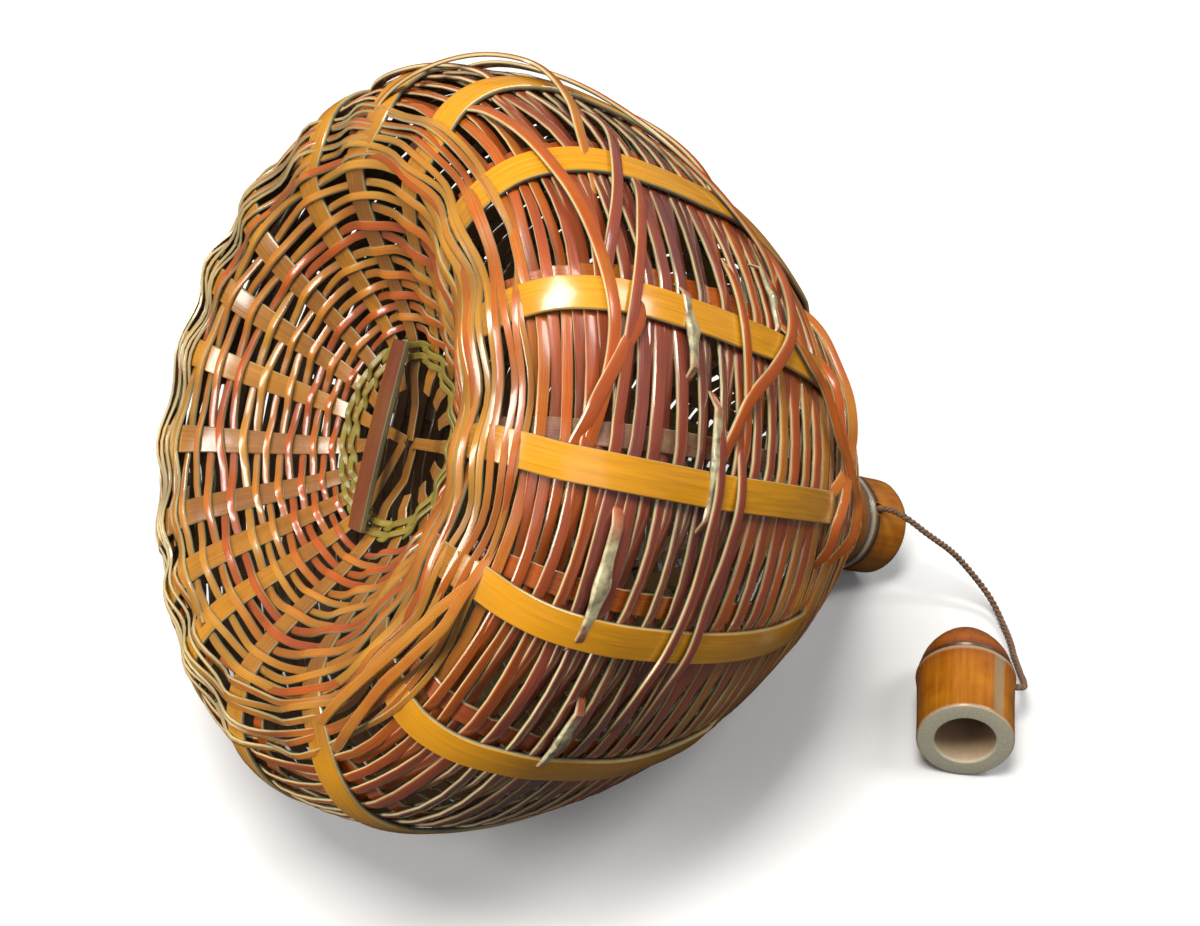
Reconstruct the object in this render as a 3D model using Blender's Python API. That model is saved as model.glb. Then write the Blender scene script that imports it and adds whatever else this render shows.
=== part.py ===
"""Ikebana basket of split bamboo, laid down on its belly and on the mouth of its bamboo neck.

The basket is modelled standing on its foot, in its own frame: +Z runs from the foot to the neck, and
the +X side becomes the underside once the basket is laid down. Seventeen strips start at the hub, run
under the foot and up the outside, and end at the neck. Woven walls lie under them, seventeen inner ribs
line the walls, and single strands bind the strips at the foot, the waist and the shoulder. A bamboo
stopper lies beside the basket on a twisted cord that comes out of a hole in the neck.
"""

import math

import bmesh
import bpy
import numpy as np
from mathutils import Euler, Vector

# Skin of the basket: the outer faces of its strips, from the hub over the foot to the collar
BELLY_RADIUS = 0.100
BELLY_HEIGHT = 0.0365
FOOT_RADIUS = 0.071
HUB_RADIUS = 0.020
KICK_DEPTH = 0.0287
COLLAR_HEIGHT = 0.1892
COLLAR_ROOM = 0.0006
KICK_HOLLOW_SHARE = 1.59
KICK_LIP_SHARE = 1.86
SHOULDER_ROUND_SHARE = 2.0
SHOULDER_DROOP_SHARE = 1.15

# Split bamboo
STRIP_WIDTH = 0.0086
STRIP_THICKNESS = 0.0012
STRIP_TIP_WIDTH = 0.0011
STRIP_TIP_RADIUS = 0.0062
RIB_WIDTH = 0.0070
RIB_THICKNESS = 0.0011
WALL_THICKNESS = 0.0018
WALL_GROOVE = 0.0011
WALL_SLOT = 0.0016
STRAND_WIDTH = 0.0042
STRAND_THICKNESS = 0.0010
STRAND_END_GAP = 0.0030
BINDING_WIDTH = 0.0024
BINDING_THICKNESS = 0.0013
BINDING_END_GAP = 0.0008
SEAT_GAP = 0.0003
STRAND_SEAT = 0.0006
BAR_LENGTH = 0.0510
BAR_WIDTH = 0.0068
BAR_THICKNESS = 0.0020
BAR_OFF_CENTRE = 0.0030
BAR_EDGE = 0.0003

# Bamboo neck
NECK_RADIUS = 0.0152
NECK_BORE_RADIUS = 0.0110
NECK_INSIDE = 0.0200
NECK_OUTSIDE = 0.0245
NECK_NODE_OUT = 0.0083
NECK_NODE_WIDTH = 0.0022
NECK_NODE_GROOVE = 0.0007
NECK_EDGE = 0.0010

# Bamboo stopper
STOPPER_MOUTH_RADIUS = 0.0140
STOPPER_NODE_RADIUS = 0.0147
STOPPER_BORE_RADIUS = 0.0086
STOPPER_BORE_DEPTH = 0.0210
STOPPER_NODE_PLACE = 0.0245
STOPPER_NODE_WIDTH = 0.0016
STOPPER_NODE_GROOVE = 0.0006
STOPPER_DOME_RADIUS = 0.0134
STOPPER_DOME_LENGTH = 0.0150
STOPPER_EDGE = 0.0006
STOPPER_FLOOR_SHARE = 0.8
DOME_PLACE_SHARES = (0.2, 0.42, 0.66, 0.86)
DOME_ROUND_SHARE = 1.5
DOME_FALL_SHARE = 0.8
STOPPER_HOLE_PLACE = 0.0222
STOPPER_X = 0.1559
STOPPER_Y = -0.0887
MOUTH_SLANT_DEGREES = 6.0
STOPPER_TURN_DEGREES = 55.0
BRANCH_GROOVE = 0.0008
BRANCH_SPREAD_SHARE = 0.057

# Cord
CORD_DIAMETER = 0.0020
CORD_HOLE_RADIUS = 0.0019
CORD_HOLE_OUT = 0.0110
CORD_INSIDE = 0.0010
CORD_STEP = 0.0045
OVERRUN = 0.0020

# Places round the basket, as shares of a turn from the underside
STRIP_TURN_SHARES = (
    0.0, 0.047, 0.088, 0.139, 0.197, 0.247, 0.294, 0.356, 0.408,
    0.475, 0.536, 0.599, 0.664, 0.725, 0.793, 0.872, 0.939,
)
BAR_TURN_SHARE = 0.431
CORD_HOLE_TURN_SHARE = 0.600
NECK_BRANCH_TURN_SHARE = 0.530
STOPPER_BRANCH_TURN_SHARE = 0.860

# Places along the skin, as shares of its length from the hub
BAND_SHARES = (
    ("base", 0.0, 0.205),
    ("foot", 0.205, 0.385),
    ("side", 0.385, 0.69),
    ("shoulder", 0.69, 1.0),
)
BENDS = {"base": 6, "foot": 5, "side": 6, "shoulder": 7}
COURSES = {"foot": 12, "side": 26, "shoulder": 22}
SLOT_PLACE_SHARES = (0.25, 0.75)
RIB_SPAN_SHARES = (0.24, 0.90)
STRAND_SHARES = (
    ("foot_strand_1", 0.187),
    ("foot_strand_2", 0.223),
    ("waist_strand_1", 0.41),
    ("waist_strand_2", 0.435),
    ("shoulder_strand_1", 0.845),
)
STRIP_WIDTH_SHARES = ((0.0, 0.52), (0.1, 0.78), (0.22, 1.0), (0.66, 1.0), (0.86, 0.86), (1.0, 0.5))

# Cord's route over the table, from the neck's hole to the stopper's hole
CORD_ROUTE = (
    (0.1807, -0.0164, 0.0308),
    (0.1862, -0.0233, 0.0262),
    (0.1912, -0.0264, 0.0215),
    (0.1958, -0.0297, 0.0158),
    (0.2008, -0.0365, 0.0075),
    (0.2021, -0.0418, 0.0032),
    (0.2013, -0.0471, 0.0014),
    (0.1993, -0.0535, 0.0012),
    (0.1964, -0.0594, 0.0017),
    (0.1926, -0.0666, 0.0042),
    (0.1893, -0.0716, 0.0075),
    (0.1868, -0.0755, 0.0104),
)

TURN = 2 * math.pi
TURNED_SIDES = 28
DRILL_SIDES = 12
SKIN_SAMPLES = 400
CURVE_STEPS = 24
NORMAL_REACH_SHARE = 0.004
TILT_TOLERANCE = 1e-7
SMOOTH_DEGREES = 40.0
STRIP_COUNT = len(STRIP_TURN_SHARES)
WALL_OUTER = -STRIP_THICKNESS - SEAT_GAP
WALL_INNER = WALL_OUTER - WALL_THICKNESS
COLLAR_RADIUS = NECK_RADIUS + COLLAR_ROOM - WALL_INNER

COLOURS = {
    "strip": (0.62, 0.27, 0.045, 0.28),
    "rib": (0.40, 0.13, 0.03, 0.40),
    "weave": (0.33, 0.085, 0.03, 0.36),
    "strand": (0.42, 0.13, 0.035, 0.32),
    "binding": (0.48, 0.38, 0.12, 0.40),
    "bar": (0.30, 0.09, 0.025, 0.35),
    "bamboo": (0.47, 0.18, 0.02, 0.22),
    "cord": (0.12, 0.06, 0.03, 0.75),
}


# Scene


def clear_scene():
    for obj in list(bpy.data.objects):
        bpy.data.objects.remove(obj, do_unlink=True)


def finish_of(name, kind):
    """A Principled material for one sub-part."""
    red, green, blue, roughness = COLOURS[kind]
    material = bpy.data.materials.new(name)
    material.use_nodes = True
    shader = material.node_tree.nodes["Principled BSDF"]
    shader.inputs["Base Color"].default_value = (red, green, blue, 1.0)
    shader.inputs["Roughness"].default_value = roughness
    shader.inputs["Metallic"].default_value = 0.0
    return material


def add_empty(name, parent=None):
    empty = bpy.data.objects.new(name, None)
    bpy.context.scene.collection.objects.link(empty)
    empty.parent = parent
    return empty


def add_object(name, data, kind, parent):
    obj = bpy.data.objects.new(name, data)
    bpy.context.scene.collection.objects.link(obj)
    obj.parent = parent
    data.materials.append(finish_of(name, kind))
    return obj


def loft(name, rings, kind, parent, closed=False, smooth=False):
    """One closed body through rings of points. A ring of one point is a pole, and open ends are capped."""
    mesh = bpy.data.meshes.new(name)
    work = bmesh.new()
    loops = [[work.verts.new(point) for point in ring] for ring in rings]
    pairs = list(zip(loops, loops[1:]))
    if closed:
        pairs.append((loops[-1], loops[0]))
    for first, second in pairs:
        count = max(len(first), len(second))
        for i in range(count):
            j = (i + 1) % count
            corners = [first[i % len(first)], first[j % len(first)]]
            corners += [second[j % len(second)], second[i % len(second)]]
            work.faces.new(list(dict.fromkeys(corners)))
    if not closed:
        for ring in (loops[0], loops[-1]):
            if len(ring) > 1:
                work.faces.new(ring)
    bmesh.ops.recalc_face_normals(work, faces=work.faces)
    work.to_mesh(mesh)
    work.free()
    if smooth:
        mesh.shade_smooth()
        mesh.set_sharp_from_angle(angle=math.radians(SMOOTH_DEGREES))
    return add_object(name, mesh, kind, parent)


# Skin


def kick_curve(samples):
    """The drawn-in base, from the hub's edge out to the crest of the foot."""
    out = np.linspace(0, 1, samples)
    radius = HUB_RADIUS + (FOOT_RADIUS - HUB_RADIUS) * out
    height = KICK_DEPTH * (1 - out**KICK_HOLLOW_SHARE) ** KICK_LIP_SHARE
    return radius, height


def lip_curve(samples):
    """The rounded foot, a quarter of an ellipse from its crest to the belly."""
    angle = np.linspace(0, math.pi / 2, samples)
    radius = FOOT_RADIUS + (BELLY_RADIUS - FOOT_RADIUS) * np.sin(angle)
    height = BELLY_HEIGHT * (1 - np.cos(angle))
    return radius, height


def side_curve(samples):
    """The side and the shoulder, from the belly to the collar."""
    along = np.sin(np.linspace(0, math.pi / 2, samples))
    fall = np.clip(1 - along**SHOULDER_ROUND_SHARE, 0, 1) ** SHOULDER_DROOP_SHARE
    radius = COLLAR_RADIUS + (BELLY_RADIUS - COLLAR_RADIUS) * fall
    height = BELLY_HEIGHT + (COLLAR_HEIGHT - BELLY_HEIGHT) * along
    return radius, height


def skin_curve():
    """Radius, height and share of length at closely spaced points of the skin, and its whole length."""
    curves = [kick_curve(SKIN_SAMPLES), lip_curve(SKIN_SAMPLES), side_curve(SKIN_SAMPLES)]
    radius = np.concatenate([curve[0][1:] for curve in curves])
    height = np.concatenate([curve[1][1:] for curve in curves])
    steps = np.hypot(np.diff(radius), np.diff(height))
    length = np.concatenate([[0], np.cumsum(steps)])
    return radius, height, length / length[-1], float(length[-1])


SKIN_RADIUS, SKIN_HEIGHT, SKIN_SHARE, SKIN_LENGTH = skin_curve()


def skin_at(share):
    radius = np.interp(share, SKIN_SHARE, SKIN_RADIUS)
    height = np.interp(share, SKIN_SHARE, SKIN_HEIGHT)
    return np.array([radius, height])


def outward_at(share):
    """The skin's outward normal, as parts along the radius and the height."""
    ahead = min(share + NORMAL_REACH_SHARE, 1.0)
    behind = max(share - NORMAL_REACH_SHARE, 0.0)
    along = skin_at(ahead) - skin_at(behind)
    along /= np.hypot(along[0], along[1])
    return np.array([along[1], -along[0]])


def station_shares():
    """The places along the skin where every strip, wall and rib bends."""
    shares = [0.0]
    for name, start, end in BAND_SHARES:
        count = BENDS[name]
        shares += [start + (end - start) * (i + 1) / count for i in range(count)]
    return np.array(shares)


STATIONS = station_shares()
STATION_POINTS = np.array([skin_at(share) for share in STATIONS])
STATION_NORMALS = np.array([outward_at(share) for share in STATIONS])


def layer_at(share, lift):
    """Radius and height on the flats between stations, lifted off the skin."""
    lifted = STATION_POINTS + STATION_NORMALS * lift
    radius = np.interp(share, STATIONS, lifted[:, 0])
    height = np.interp(share, STATIONS, lifted[:, 1])
    return radius, height


def flat_direction(share):
    """Direction from hub to neck along the flat that holds this share."""
    index = int(np.clip(np.searchsorted(STATIONS, share), 1, len(STATIONS) - 1))
    along = STATION_POINTS[index] - STATION_POINTS[index - 1]
    return along / np.hypot(along[0], along[1])


def on_turn(radius, angle, height):
    return Vector((radius * math.cos(angle), radius * math.sin(angle), height))


def strip_angles():
    return [TURN * share for share in STRIP_TURN_SHARES]


def middle_angles():
    """The angles halfway from each strip to the next."""
    angles = strip_angles()
    following = angles[1:] + [angles[0] + TURN]
    return [(first + second) / 2 for first, second in zip(angles, following)]


def section_angles():
    return [angle for pair in zip(strip_angles(), middle_angles()) for angle in pair]


def width_at(share):
    places = [place for place, _ in STRIP_WIDTH_SHARES]
    widths = [width for _, width in STRIP_WIDTH_SHARES]
    return STRIP_WIDTH * float(np.interp(share, places, widths))


def flat_section(centre, across, through, width, thickness):
    """The four corners of a flat strip where it is cut across."""
    side = across * (width / 2)
    face = through * (thickness / 2)
    return [centre - side - face, centre + side - face, centre + side + face, centre - side + face]


def loft_wall(name, outer, inner, holes, parent):
    """One closed wall between two faces of the same grid, open through the cells of holes."""
    mesh = bpy.data.meshes.new(name)
    work = bmesh.new()
    faces = [[[work.verts.new(point) for point in ring] for ring in face] for face in (outer, inner)]
    last = len(outer) - 1
    count = len(outer[0])

    def add_side(first, second):
        near, far = faces
        corners = [near[first[0]][first[1]], near[second[0]][second[1]]]
        work.faces.new(corners + [far[second[0]][second[1]], far[first[0]][first[1]]])

    for column in range(count):
        ahead = (column + 1) % count
        add_side((0, column), (0, ahead))
        add_side((last, ahead), (last, column))
        for row in range(last):
            if (row, column) not in holes:
                for face in faces:
                    upper, lower = face[row], face[row + 1]
                    work.faces.new([upper[column], upper[ahead], lower[ahead], lower[column]])
                continue
            add_side((row, column), (row, ahead))
            add_side((row + 1, ahead), (row + 1, column))
            add_side((row, ahead), (row + 1, ahead))
            add_side((row + 1, column), (row, column))
    bmesh.ops.recalc_face_normals(work, faces=work.faces)
    work.to_mesh(mesh)
    work.free()
    return add_object(name, mesh, "weave", parent)


# Basket


def add_strip(name, angle, basket):
    """An outer strip, pointed at the hub, from the hub over the foot to the collar."""
    across = Vector((-math.sin(angle), math.cos(angle), 0))
    tip = on_turn(STRIP_TIP_RADIUS, angle, KICK_DEPTH + STRIP_THICKNESS / 2)
    rings = [flat_section(tip, across, Vector((0, 0, -1)), STRIP_TIP_WIDTH, STRIP_THICKNESS)]
    for share, normal in zip(STATIONS, STATION_NORMALS):
        radius, height = layer_at(share, -STRIP_THICKNESS / 2)
        through = on_turn(normal[0], angle, normal[1])
        centre = on_turn(radius, angle, height)
        rings.append(flat_section(centre, across, through, width_at(share), STRIP_THICKNESS))
    return loft(name, rings, "strip", basket)


def woven_ring(share, course, angles):
    """Points round a wall's outer face, where every other course runs deeper halfway between strips."""
    high = layer_at(share, WALL_OUTER)
    low = layer_at(share, WALL_OUTER - WALL_GROOVE)
    points = []
    for index, angle in enumerate(angles):
        sunk = index % 2 == 1 and (course + index // 2) % 2 == 1
        radius, height = low if sunk else high
        points.append(on_turn(radius, angle, height))
    return points


def inner_ring(share, angles):
    radius, height = layer_at(share, WALL_INNER)
    return [on_turn(radius, angle, height) for angle in angles]


def wall_ends(start, end):
    """The shares between which a wall reaches, clear of the walls next to it."""
    gap_share = SEAT_GAP / 2 / SKIN_LENGTH
    return start + (gap_share if start > 0 else 0), end - (gap_share if end < 1 else 0)


def add_wall(name, start, end, courses, basket):
    """A woven wall. Its courses stand out and in by turns, and the other way round past the next strip."""
    angles = section_angles()
    first, last = wall_ends(start, end)
    shares = [first + (last - first) * i / courses for i in range(courses + 1)]
    rings = [woven_ring(share, course, angles) for course, share in enumerate(shares)]
    inner = [share for share in STATIONS if start < share < end]
    rings += [inner_ring(share, angles) for share in [last] + inner[::-1] + [first]]
    return loft(name, rings, "weave", basket, closed=True)


def add_open_wall(name, start, end, basket):
    """The base's woven wall. Between its courses it is open, by turns after and before each strip."""
    angles = section_angles()
    first, last = wall_ends(start, end)
    bends = [first] + [share for share in STATIONS if start < share < end] + [last]
    half_share = WALL_SLOT / 2 / SKIN_LENGTH
    shares = [first]
    courses = [0]
    holes = set()
    for flat, (low, high) in enumerate(zip(bends, bends[1:])):
        if 0 < flat < len(bends) - 2:
            for place in SLOT_PLACE_SHARES:
                middle = low + (high - low) * place
                side = courses[-1] % 2
                holes |= {(len(shares), 2 * index + side) for index in range(STRIP_COUNT)}
                shares += [middle - half_share, middle + half_share]
                courses += [courses[-1], courses[-1] + 1]
        shares.append(high)
        courses.append(courses[-1])
    outer = [woven_ring(share, course, angles) for share, course in zip(shares, courses)]
    inner = [inner_ring(share, angles) for share in shares]
    return loft_wall(name, outer, inner, holes, basket)


def add_rib(name, index, basket):
    """An inner rib, flat against the inside of the wall just before its strip."""
    angles = section_angles()
    own = angles[2 * index]
    before = angles[2 * index - 1] - (TURN if index == 0 else 0)
    angle = (own + before) / 2
    half_flat = (own - before) / 2
    across = Vector((-math.sin(angle), math.cos(angle), 0))
    start, end = RIB_SPAN_SHARES
    shares = [start] + [share for share in STATIONS if start < share < end] + [end]
    rings = []
    for share in shares:
        radius, height = layer_at(share, WALL_INNER)
        along = flat_direction(share)
        through = on_turn(along[1], angle, -along[0])
        room = 2 * radius * math.sin(half_flat)
        width = min(RIB_WIDTH, room - 2 * SEAT_GAP)
        seat = on_turn(radius * math.cos(half_flat), angle, height)
        centre = seat - through * (SEAT_GAP + RIB_THICKNESS / 2)
        rings.append(flat_section(centre, across, through, width, RIB_THICKNESS))
    return loft(name, rings, "rib", basket)


def add_strand(name, share, size, kind, basket):
    """One turn of a strand, over every strip and down to the wall between strips."""
    width, thickness, end_gap = size
    along = flat_direction(share)
    over = STRAND_SEAT + thickness / 2
    under = WALL_OUTER + STRAND_SEAT + thickness / 2
    strips = strip_angles()
    middles = middle_angles()
    half = width_at(share) / 2 + SEAT_GAP * 2
    rings = []

    def cut(centre, angle):
        through = on_turn(along[1], angle, -along[0])
        across = on_turn(along[0], angle, along[1])
        rings.append(flat_section(centre, across, through, width, thickness))

    def add_low(angle, shift):
        radius, height = layer_at(share, under)
        side = Vector((-math.sin(angle), math.cos(angle), 0))
        cut(on_turn(radius, angle, height) + side * shift, angle)

    add_low(middles[-1], end_gap / 2)
    for strip, middle in zip(strips, middles):
        radius, height = layer_at(share, over)
        side = Vector((-math.sin(strip), math.cos(strip), 0))
        for place in (-half, half):
            cut(on_turn(radius, strip, height) + side * place, strip)
        last = middle == middles[-1]
        add_low(middle, -end_gap / 2 if last else 0)
    return loft(name, rings, kind, basket)


def add_bar(basket):
    """The flat bar that lies across the hub, on the twining."""
    mesh = bpy.data.meshes.new("base_bar")
    work = bmesh.new()
    bmesh.ops.create_cube(work, size=BAR_LENGTH)
    flattened = (1, BAR_WIDTH / BAR_LENGTH, BAR_THICKNESS / BAR_LENGTH)
    bmesh.ops.scale(work, vec=flattened, verts=work.verts)
    bmesh.ops.bevel(work, geom=work.edges[:], offset=BAR_EDGE, segments=1, affect="EDGES")
    work.to_mesh(mesh)
    work.free()
    bar = add_object("base_bar", mesh, "bar", basket)
    angle = TURN * BAR_TURN_SHARE
    outermost = binding_places()[-1]
    seat = layer_at(outermost, STRAND_SEAT + BINDING_THICKNESS)[1]
    aside = Vector((-math.sin(angle), math.cos(angle), 0)) * -BAR_OFF_CENTRE
    bar.location = aside + Vector((0, 0, seat - SEAT_GAP * 2 - BAR_THICKNESS / 2))
    bar.rotation_euler = Euler((0, 0, angle))
    return bar


def binding_places():
    """Shares of the skin where the two rounds of twining lie, side by side."""
    second = BINDING_WIDTH * 2 + SEAT_GAP * 2
    return [BINDING_WIDTH / SKIN_LENGTH, second / SKIN_LENGTH]


def dented(radius, angle, centre, depth):
    """The radius with a branch groove pressed in, deepest at its centre."""
    apart = abs((angle - centre + math.pi) % TURN - math.pi)
    return radius - depth * max(0.0, 1 - apart / (TURN * BRANCH_SPREAD_SHARE))


def turned_rings(profile, groove_share, low, high, least_radius):
    """Rings of a turned piece. Its groove runs from low to high, outside the least radius."""
    centre = TURN * groove_share
    rings = []
    for radius, height in profile:
        if radius == 0:
            rings.append([Vector((0, 0, height))])
            continue
        grooved = low <= height <= high and radius > least_radius
        depth = BRANCH_GROOVE if grooved else 0
        angles = [TURN * (i + 0.5) / TURNED_SIDES for i in range(TURNED_SIDES)]
        rings.append([on_turn(dented(radius, a, centre, depth), a, height) for a in angles])
    return rings


def cut_cord_hole(piece, place, direction, parent):
    """Drills the cord's hole through one wall of a bamboo piece."""
    depth = NECK_RADIUS
    mesh = bpy.data.meshes.new(piece.name + "_drill")
    work = bmesh.new()
    bmesh.ops.create_cone(
        work,
        cap_ends=True,
        segments=DRILL_SIDES,
        radius1=CORD_HOLE_RADIUS,
        radius2=CORD_HOLE_RADIUS,
        depth=depth,
    )
    work.to_mesh(mesh)
    work.free()
    drill = bpy.data.objects.new(piece.name + "_drill", mesh)
    bpy.context.scene.collection.objects.link(drill)
    drill.parent = parent
    drill.location = place + direction * (OVERRUN - depth / 2)
    drill.rotation_euler = direction.to_track_quat("Z", "Y").to_euler()
    drill.hide_render = True
    drill.display_type = "WIRE"
    hole = piece.modifiers.new("cord_hole", "BOOLEAN")
    hole.operation = "DIFFERENCE"
    hole.solver = "EXACT"
    hole.object = drill


def neck_hole():
    """Mouth and direction of the cord's hole in the neck."""
    angle = TURN * CORD_HOLE_TURN_SHARE
    outward = on_turn(1, angle, 0)
    return on_turn(NECK_RADIUS, angle, COLLAR_HEIGHT + CORD_HOLE_OUT), outward


def add_neck(basket):
    """The bamboo tube that the collar holds, with a node groove and a drilled cord hole."""
    start = COLLAR_HEIGHT - NECK_INSIDE
    end = COLLAR_HEIGHT + NECK_OUTSIDE
    node = COLLAR_HEIGHT + NECK_NODE_OUT
    half = NECK_NODE_WIDTH / 2
    profile = [
        (NECK_BORE_RADIUS, start),
        (NECK_RADIUS, start),
        (NECK_RADIUS, COLLAR_HEIGHT),
        (NECK_RADIUS, node - NECK_NODE_WIDTH),
        (NECK_RADIUS - NECK_NODE_GROOVE, node - half),
        (NECK_RADIUS + NECK_NODE_GROOVE / 2, node),
        (NECK_RADIUS, node + half),
        (NECK_RADIUS, end - NECK_EDGE),
        (NECK_RADIUS - NECK_EDGE, end),
        (NECK_BORE_RADIUS, end),
    ]
    middle_radius = (NECK_BORE_RADIUS + NECK_RADIUS) / 2
    rings = turned_rings(profile, NECK_BRANCH_TURN_SHARE, node, end, middle_radius)
    neck = loft("neck", rings, "bamboo", basket, closed=True, smooth=True)
    place, outward = neck_hole()
    cut_cord_hole(neck, place, outward, basket)
    return neck


# Stopper


def stopper_hole():
    """Mouth and direction of the cord's hole in the stopper, on the stopper's right side."""
    outward = Vector((0, 1, 0))
    return Vector((0, STOPPER_NODE_RADIUS - STOPPER_NODE_GROOVE / 2, STOPPER_HOLE_PLACE)), outward


def add_stopper(frame):
    """The blind bamboo stopper, open mouth at z = 0 and domed end above it."""
    node = STOPPER_NODE_PLACE
    half = STOPPER_NODE_WIDTH / 2
    dome_start = node + STOPPER_NODE_WIDTH * 1.5
    dome_rise = STOPPER_DOME_LENGTH
    profile = [
        (0, STOPPER_BORE_DEPTH + STOPPER_EDGE),
        (STOPPER_BORE_RADIUS * STOPPER_FLOOR_SHARE, STOPPER_BORE_DEPTH),
        (STOPPER_BORE_RADIUS, STOPPER_BORE_DEPTH - STOPPER_EDGE * 4),
        (STOPPER_BORE_RADIUS, STOPPER_EDGE),
        (STOPPER_BORE_RADIUS + STOPPER_EDGE, 0),
        (STOPPER_MOUTH_RADIUS - STOPPER_EDGE, 0),
        (STOPPER_MOUTH_RADIUS, STOPPER_EDGE),
        (STOPPER_MOUTH_RADIUS, node / 2),
        (STOPPER_NODE_RADIUS, node - half),
        (STOPPER_NODE_RADIUS - STOPPER_NODE_GROOVE, node),
        (STOPPER_NODE_RADIUS, node + half),
        (STOPPER_DOME_RADIUS, dome_start),
    ]
    for share in DOME_PLACE_SHARES:
        radius = STOPPER_DOME_RADIUS * (1 - share**DOME_ROUND_SHARE) ** DOME_FALL_SHARE
        profile.append((radius, dome_start + dome_rise * share))
    profile.append((0, dome_start + dome_rise))
    middle_radius = (STOPPER_BORE_RADIUS + STOPPER_MOUTH_RADIUS) / 2
    rings = turned_rings(profile, STOPPER_BRANCH_TURN_SHARE, 0, node, middle_radius)
    slant = math.tan(math.radians(MOUTH_SLANT_DEGREES))
    for ring in rings:
        for point in ring:
            near_mouth = max(0.0, 1 - point.z / (node / 2))
            point.z += slant * point.x * near_mouth
    stopper = loft("stopper", rings, "bamboo", frame, smooth=True)
    place, outward = stopper_hole()
    cut_cord_hole(stopper, place, outward, frame)
    return stopper


# Cord


def smooth_route(points, step):
    """Evenly spaced points of a smooth curve. The first and the last point only steer its ends."""
    points = [Vector(point) for point in points]
    fine = []
    for before, start, end, after in zip(points, points[1:], points[2:], points[3:]):
        for i in range(CURVE_STEPS):
            t = i / CURVE_STEPS
            lead = -0.5 * t**3 + t**2 - 0.5 * t
            keep = 1.5 * t**3 - 2.5 * t**2 + 1
            reach = -1.5 * t**3 + 2 * t**2 + 0.5 * t
            trail = 0.5 * t**3 - 0.5 * t**2
            fine.append(before * lead + start * keep + end * reach + after * trail)
    fine.append(points[-2])
    lengths = [0.0]
    for first, second in zip(fine, fine[1:]):
        lengths.append(lengths[-1] + (second - first).length)
    table = np.array([tuple(point) for point in fine])
    places = np.linspace(0, lengths[-1], round(lengths[-1] / step) + 1)
    axes = [np.interp(places, lengths, table[:, axis]) for axis in range(3)]
    return [Vector(point) for point in zip(*axes)]


def add_cord(layout, basket, stopper_frame):
    """The cord, straight where it enters the neck and the stopper."""
    place, outward = neck_hole()
    neck_mouth = basket.matrix_world @ place
    neck_out = (basket.matrix_world.to_3x3() @ outward).normalized()
    flatter = Vector((neck_out.x, neck_out.y, neck_out.z / 2)).normalized()
    place, outward = stopper_hole()
    stopper_mouth = stopper_frame.matrix_world @ place
    stopper_out = (stopper_frame.matrix_world.to_3x3() @ outward).normalized()
    route = [neck_mouth - flatter * CORD_INSIDE, neck_mouth + flatter * CORD_DIAMETER]
    route += [Vector(point) for point in CORD_ROUTE]
    route += [stopper_mouth + stopper_out * CORD_DIAMETER, stopper_mouth - stopper_out * CORD_INSIDE]
    points = [route[0]] + smooth_route(route, CORD_STEP) + [route[-1]]
    curve = bpy.data.curves.new("cord", "CURVE")
    curve.dimensions = "3D"
    curve.bevel_depth = CORD_DIAMETER / 2
    curve.bevel_resolution = 2
    curve.use_fill_caps = True
    spline = curve.splines.new("POLY")
    spline.points.add(len(points) - 1)
    for target, point in zip(spline.points, points):
        target.co = (*point, 1)
    add_object("cord", curve, "cord", layout)
    return sum((second - first).length for first, second in zip(points, points[1:]))


# Pose


def local_points(pieces):
    """The corners of pieces in the frame of their parent."""
    graph = bpy.context.evaluated_depsgraph_get()
    found = []
    for piece in pieces:
        mesh = piece.evaluated_get(graph).to_mesh()
        found += [piece.matrix_local @ corner.co for corner in mesh.vertices]
        piece.evaluated_get(graph).to_mesh_clear()
    return found


def resting_tilt(body, neck):
    """The tilt of the axis at which belly and neck touch the table together, found by halving."""

    def reach(points, tilt):
        return max(point.x * math.cos(tilt) + point.z * math.sin(tilt) for point in points)

    low, high = 0.0, math.pi / 2
    while high - low > TILT_TOLERANCE:
        middle = (low + high) / 2
        if reach(body, middle) > reach(neck, middle):
            low = middle
        else:
            high = middle
    return low, reach(body, low)


def lay_down_basket(basket, pieces):
    neck = [piece for piece in pieces if piece.name == "neck"]
    body = [piece for piece in pieces if piece.name != "neck"]
    tilt, height = resting_tilt(local_points(body), local_points(neck))
    basket.rotation_euler = Euler((0, math.pi / 2 + tilt, 0))
    basket.location = (0, 0, height)


def lay_down_stopper(frame, stopper):
    """The stopper lies on its node and on its rim, with the mouth turned away from the basket."""
    rise = math.atan2(STOPPER_NODE_RADIUS - STOPPER_MOUTH_RADIUS, STOPPER_NODE_PLACE)
    heading = math.radians(STOPPER_TURN_DEGREES)
    level = Vector((math.cos(heading), math.sin(heading), 0))
    axis = level * math.cos(rise) + Vector((0, 0, math.sin(rise)))
    right = Vector((math.sin(heading), -math.cos(heading), 0))
    up = right.cross(axis)
    turn = Vector(up).to_track_quat("X", "Z").to_matrix()
    turn.col[0] = up
    turn.col[1] = right
    turn.col[2] = axis
    frame.rotation_euler = turn.to_euler()
    bpy.context.view_layer.update()
    lowest = min((turn @ point).z for point in local_points([stopper]))
    frame.location = (STOPPER_X, STOPPER_Y, -lowest)


def centre_on_table(layout, pieces):
    """Moves the layout so that the box round the pieces stands centred on the origin."""
    bpy.context.view_layer.update()
    corners = []
    for piece in pieces:
        to_world = piece.parent.matrix_world
        corners += [to_world @ point for point in local_points([piece])]
    middle = [(min(p[axis] for p in corners) + max(p[axis] for p in corners)) / 2 for axis in (0, 1)]
    layout.location = (-middle[0], -middle[1], 0)


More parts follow.
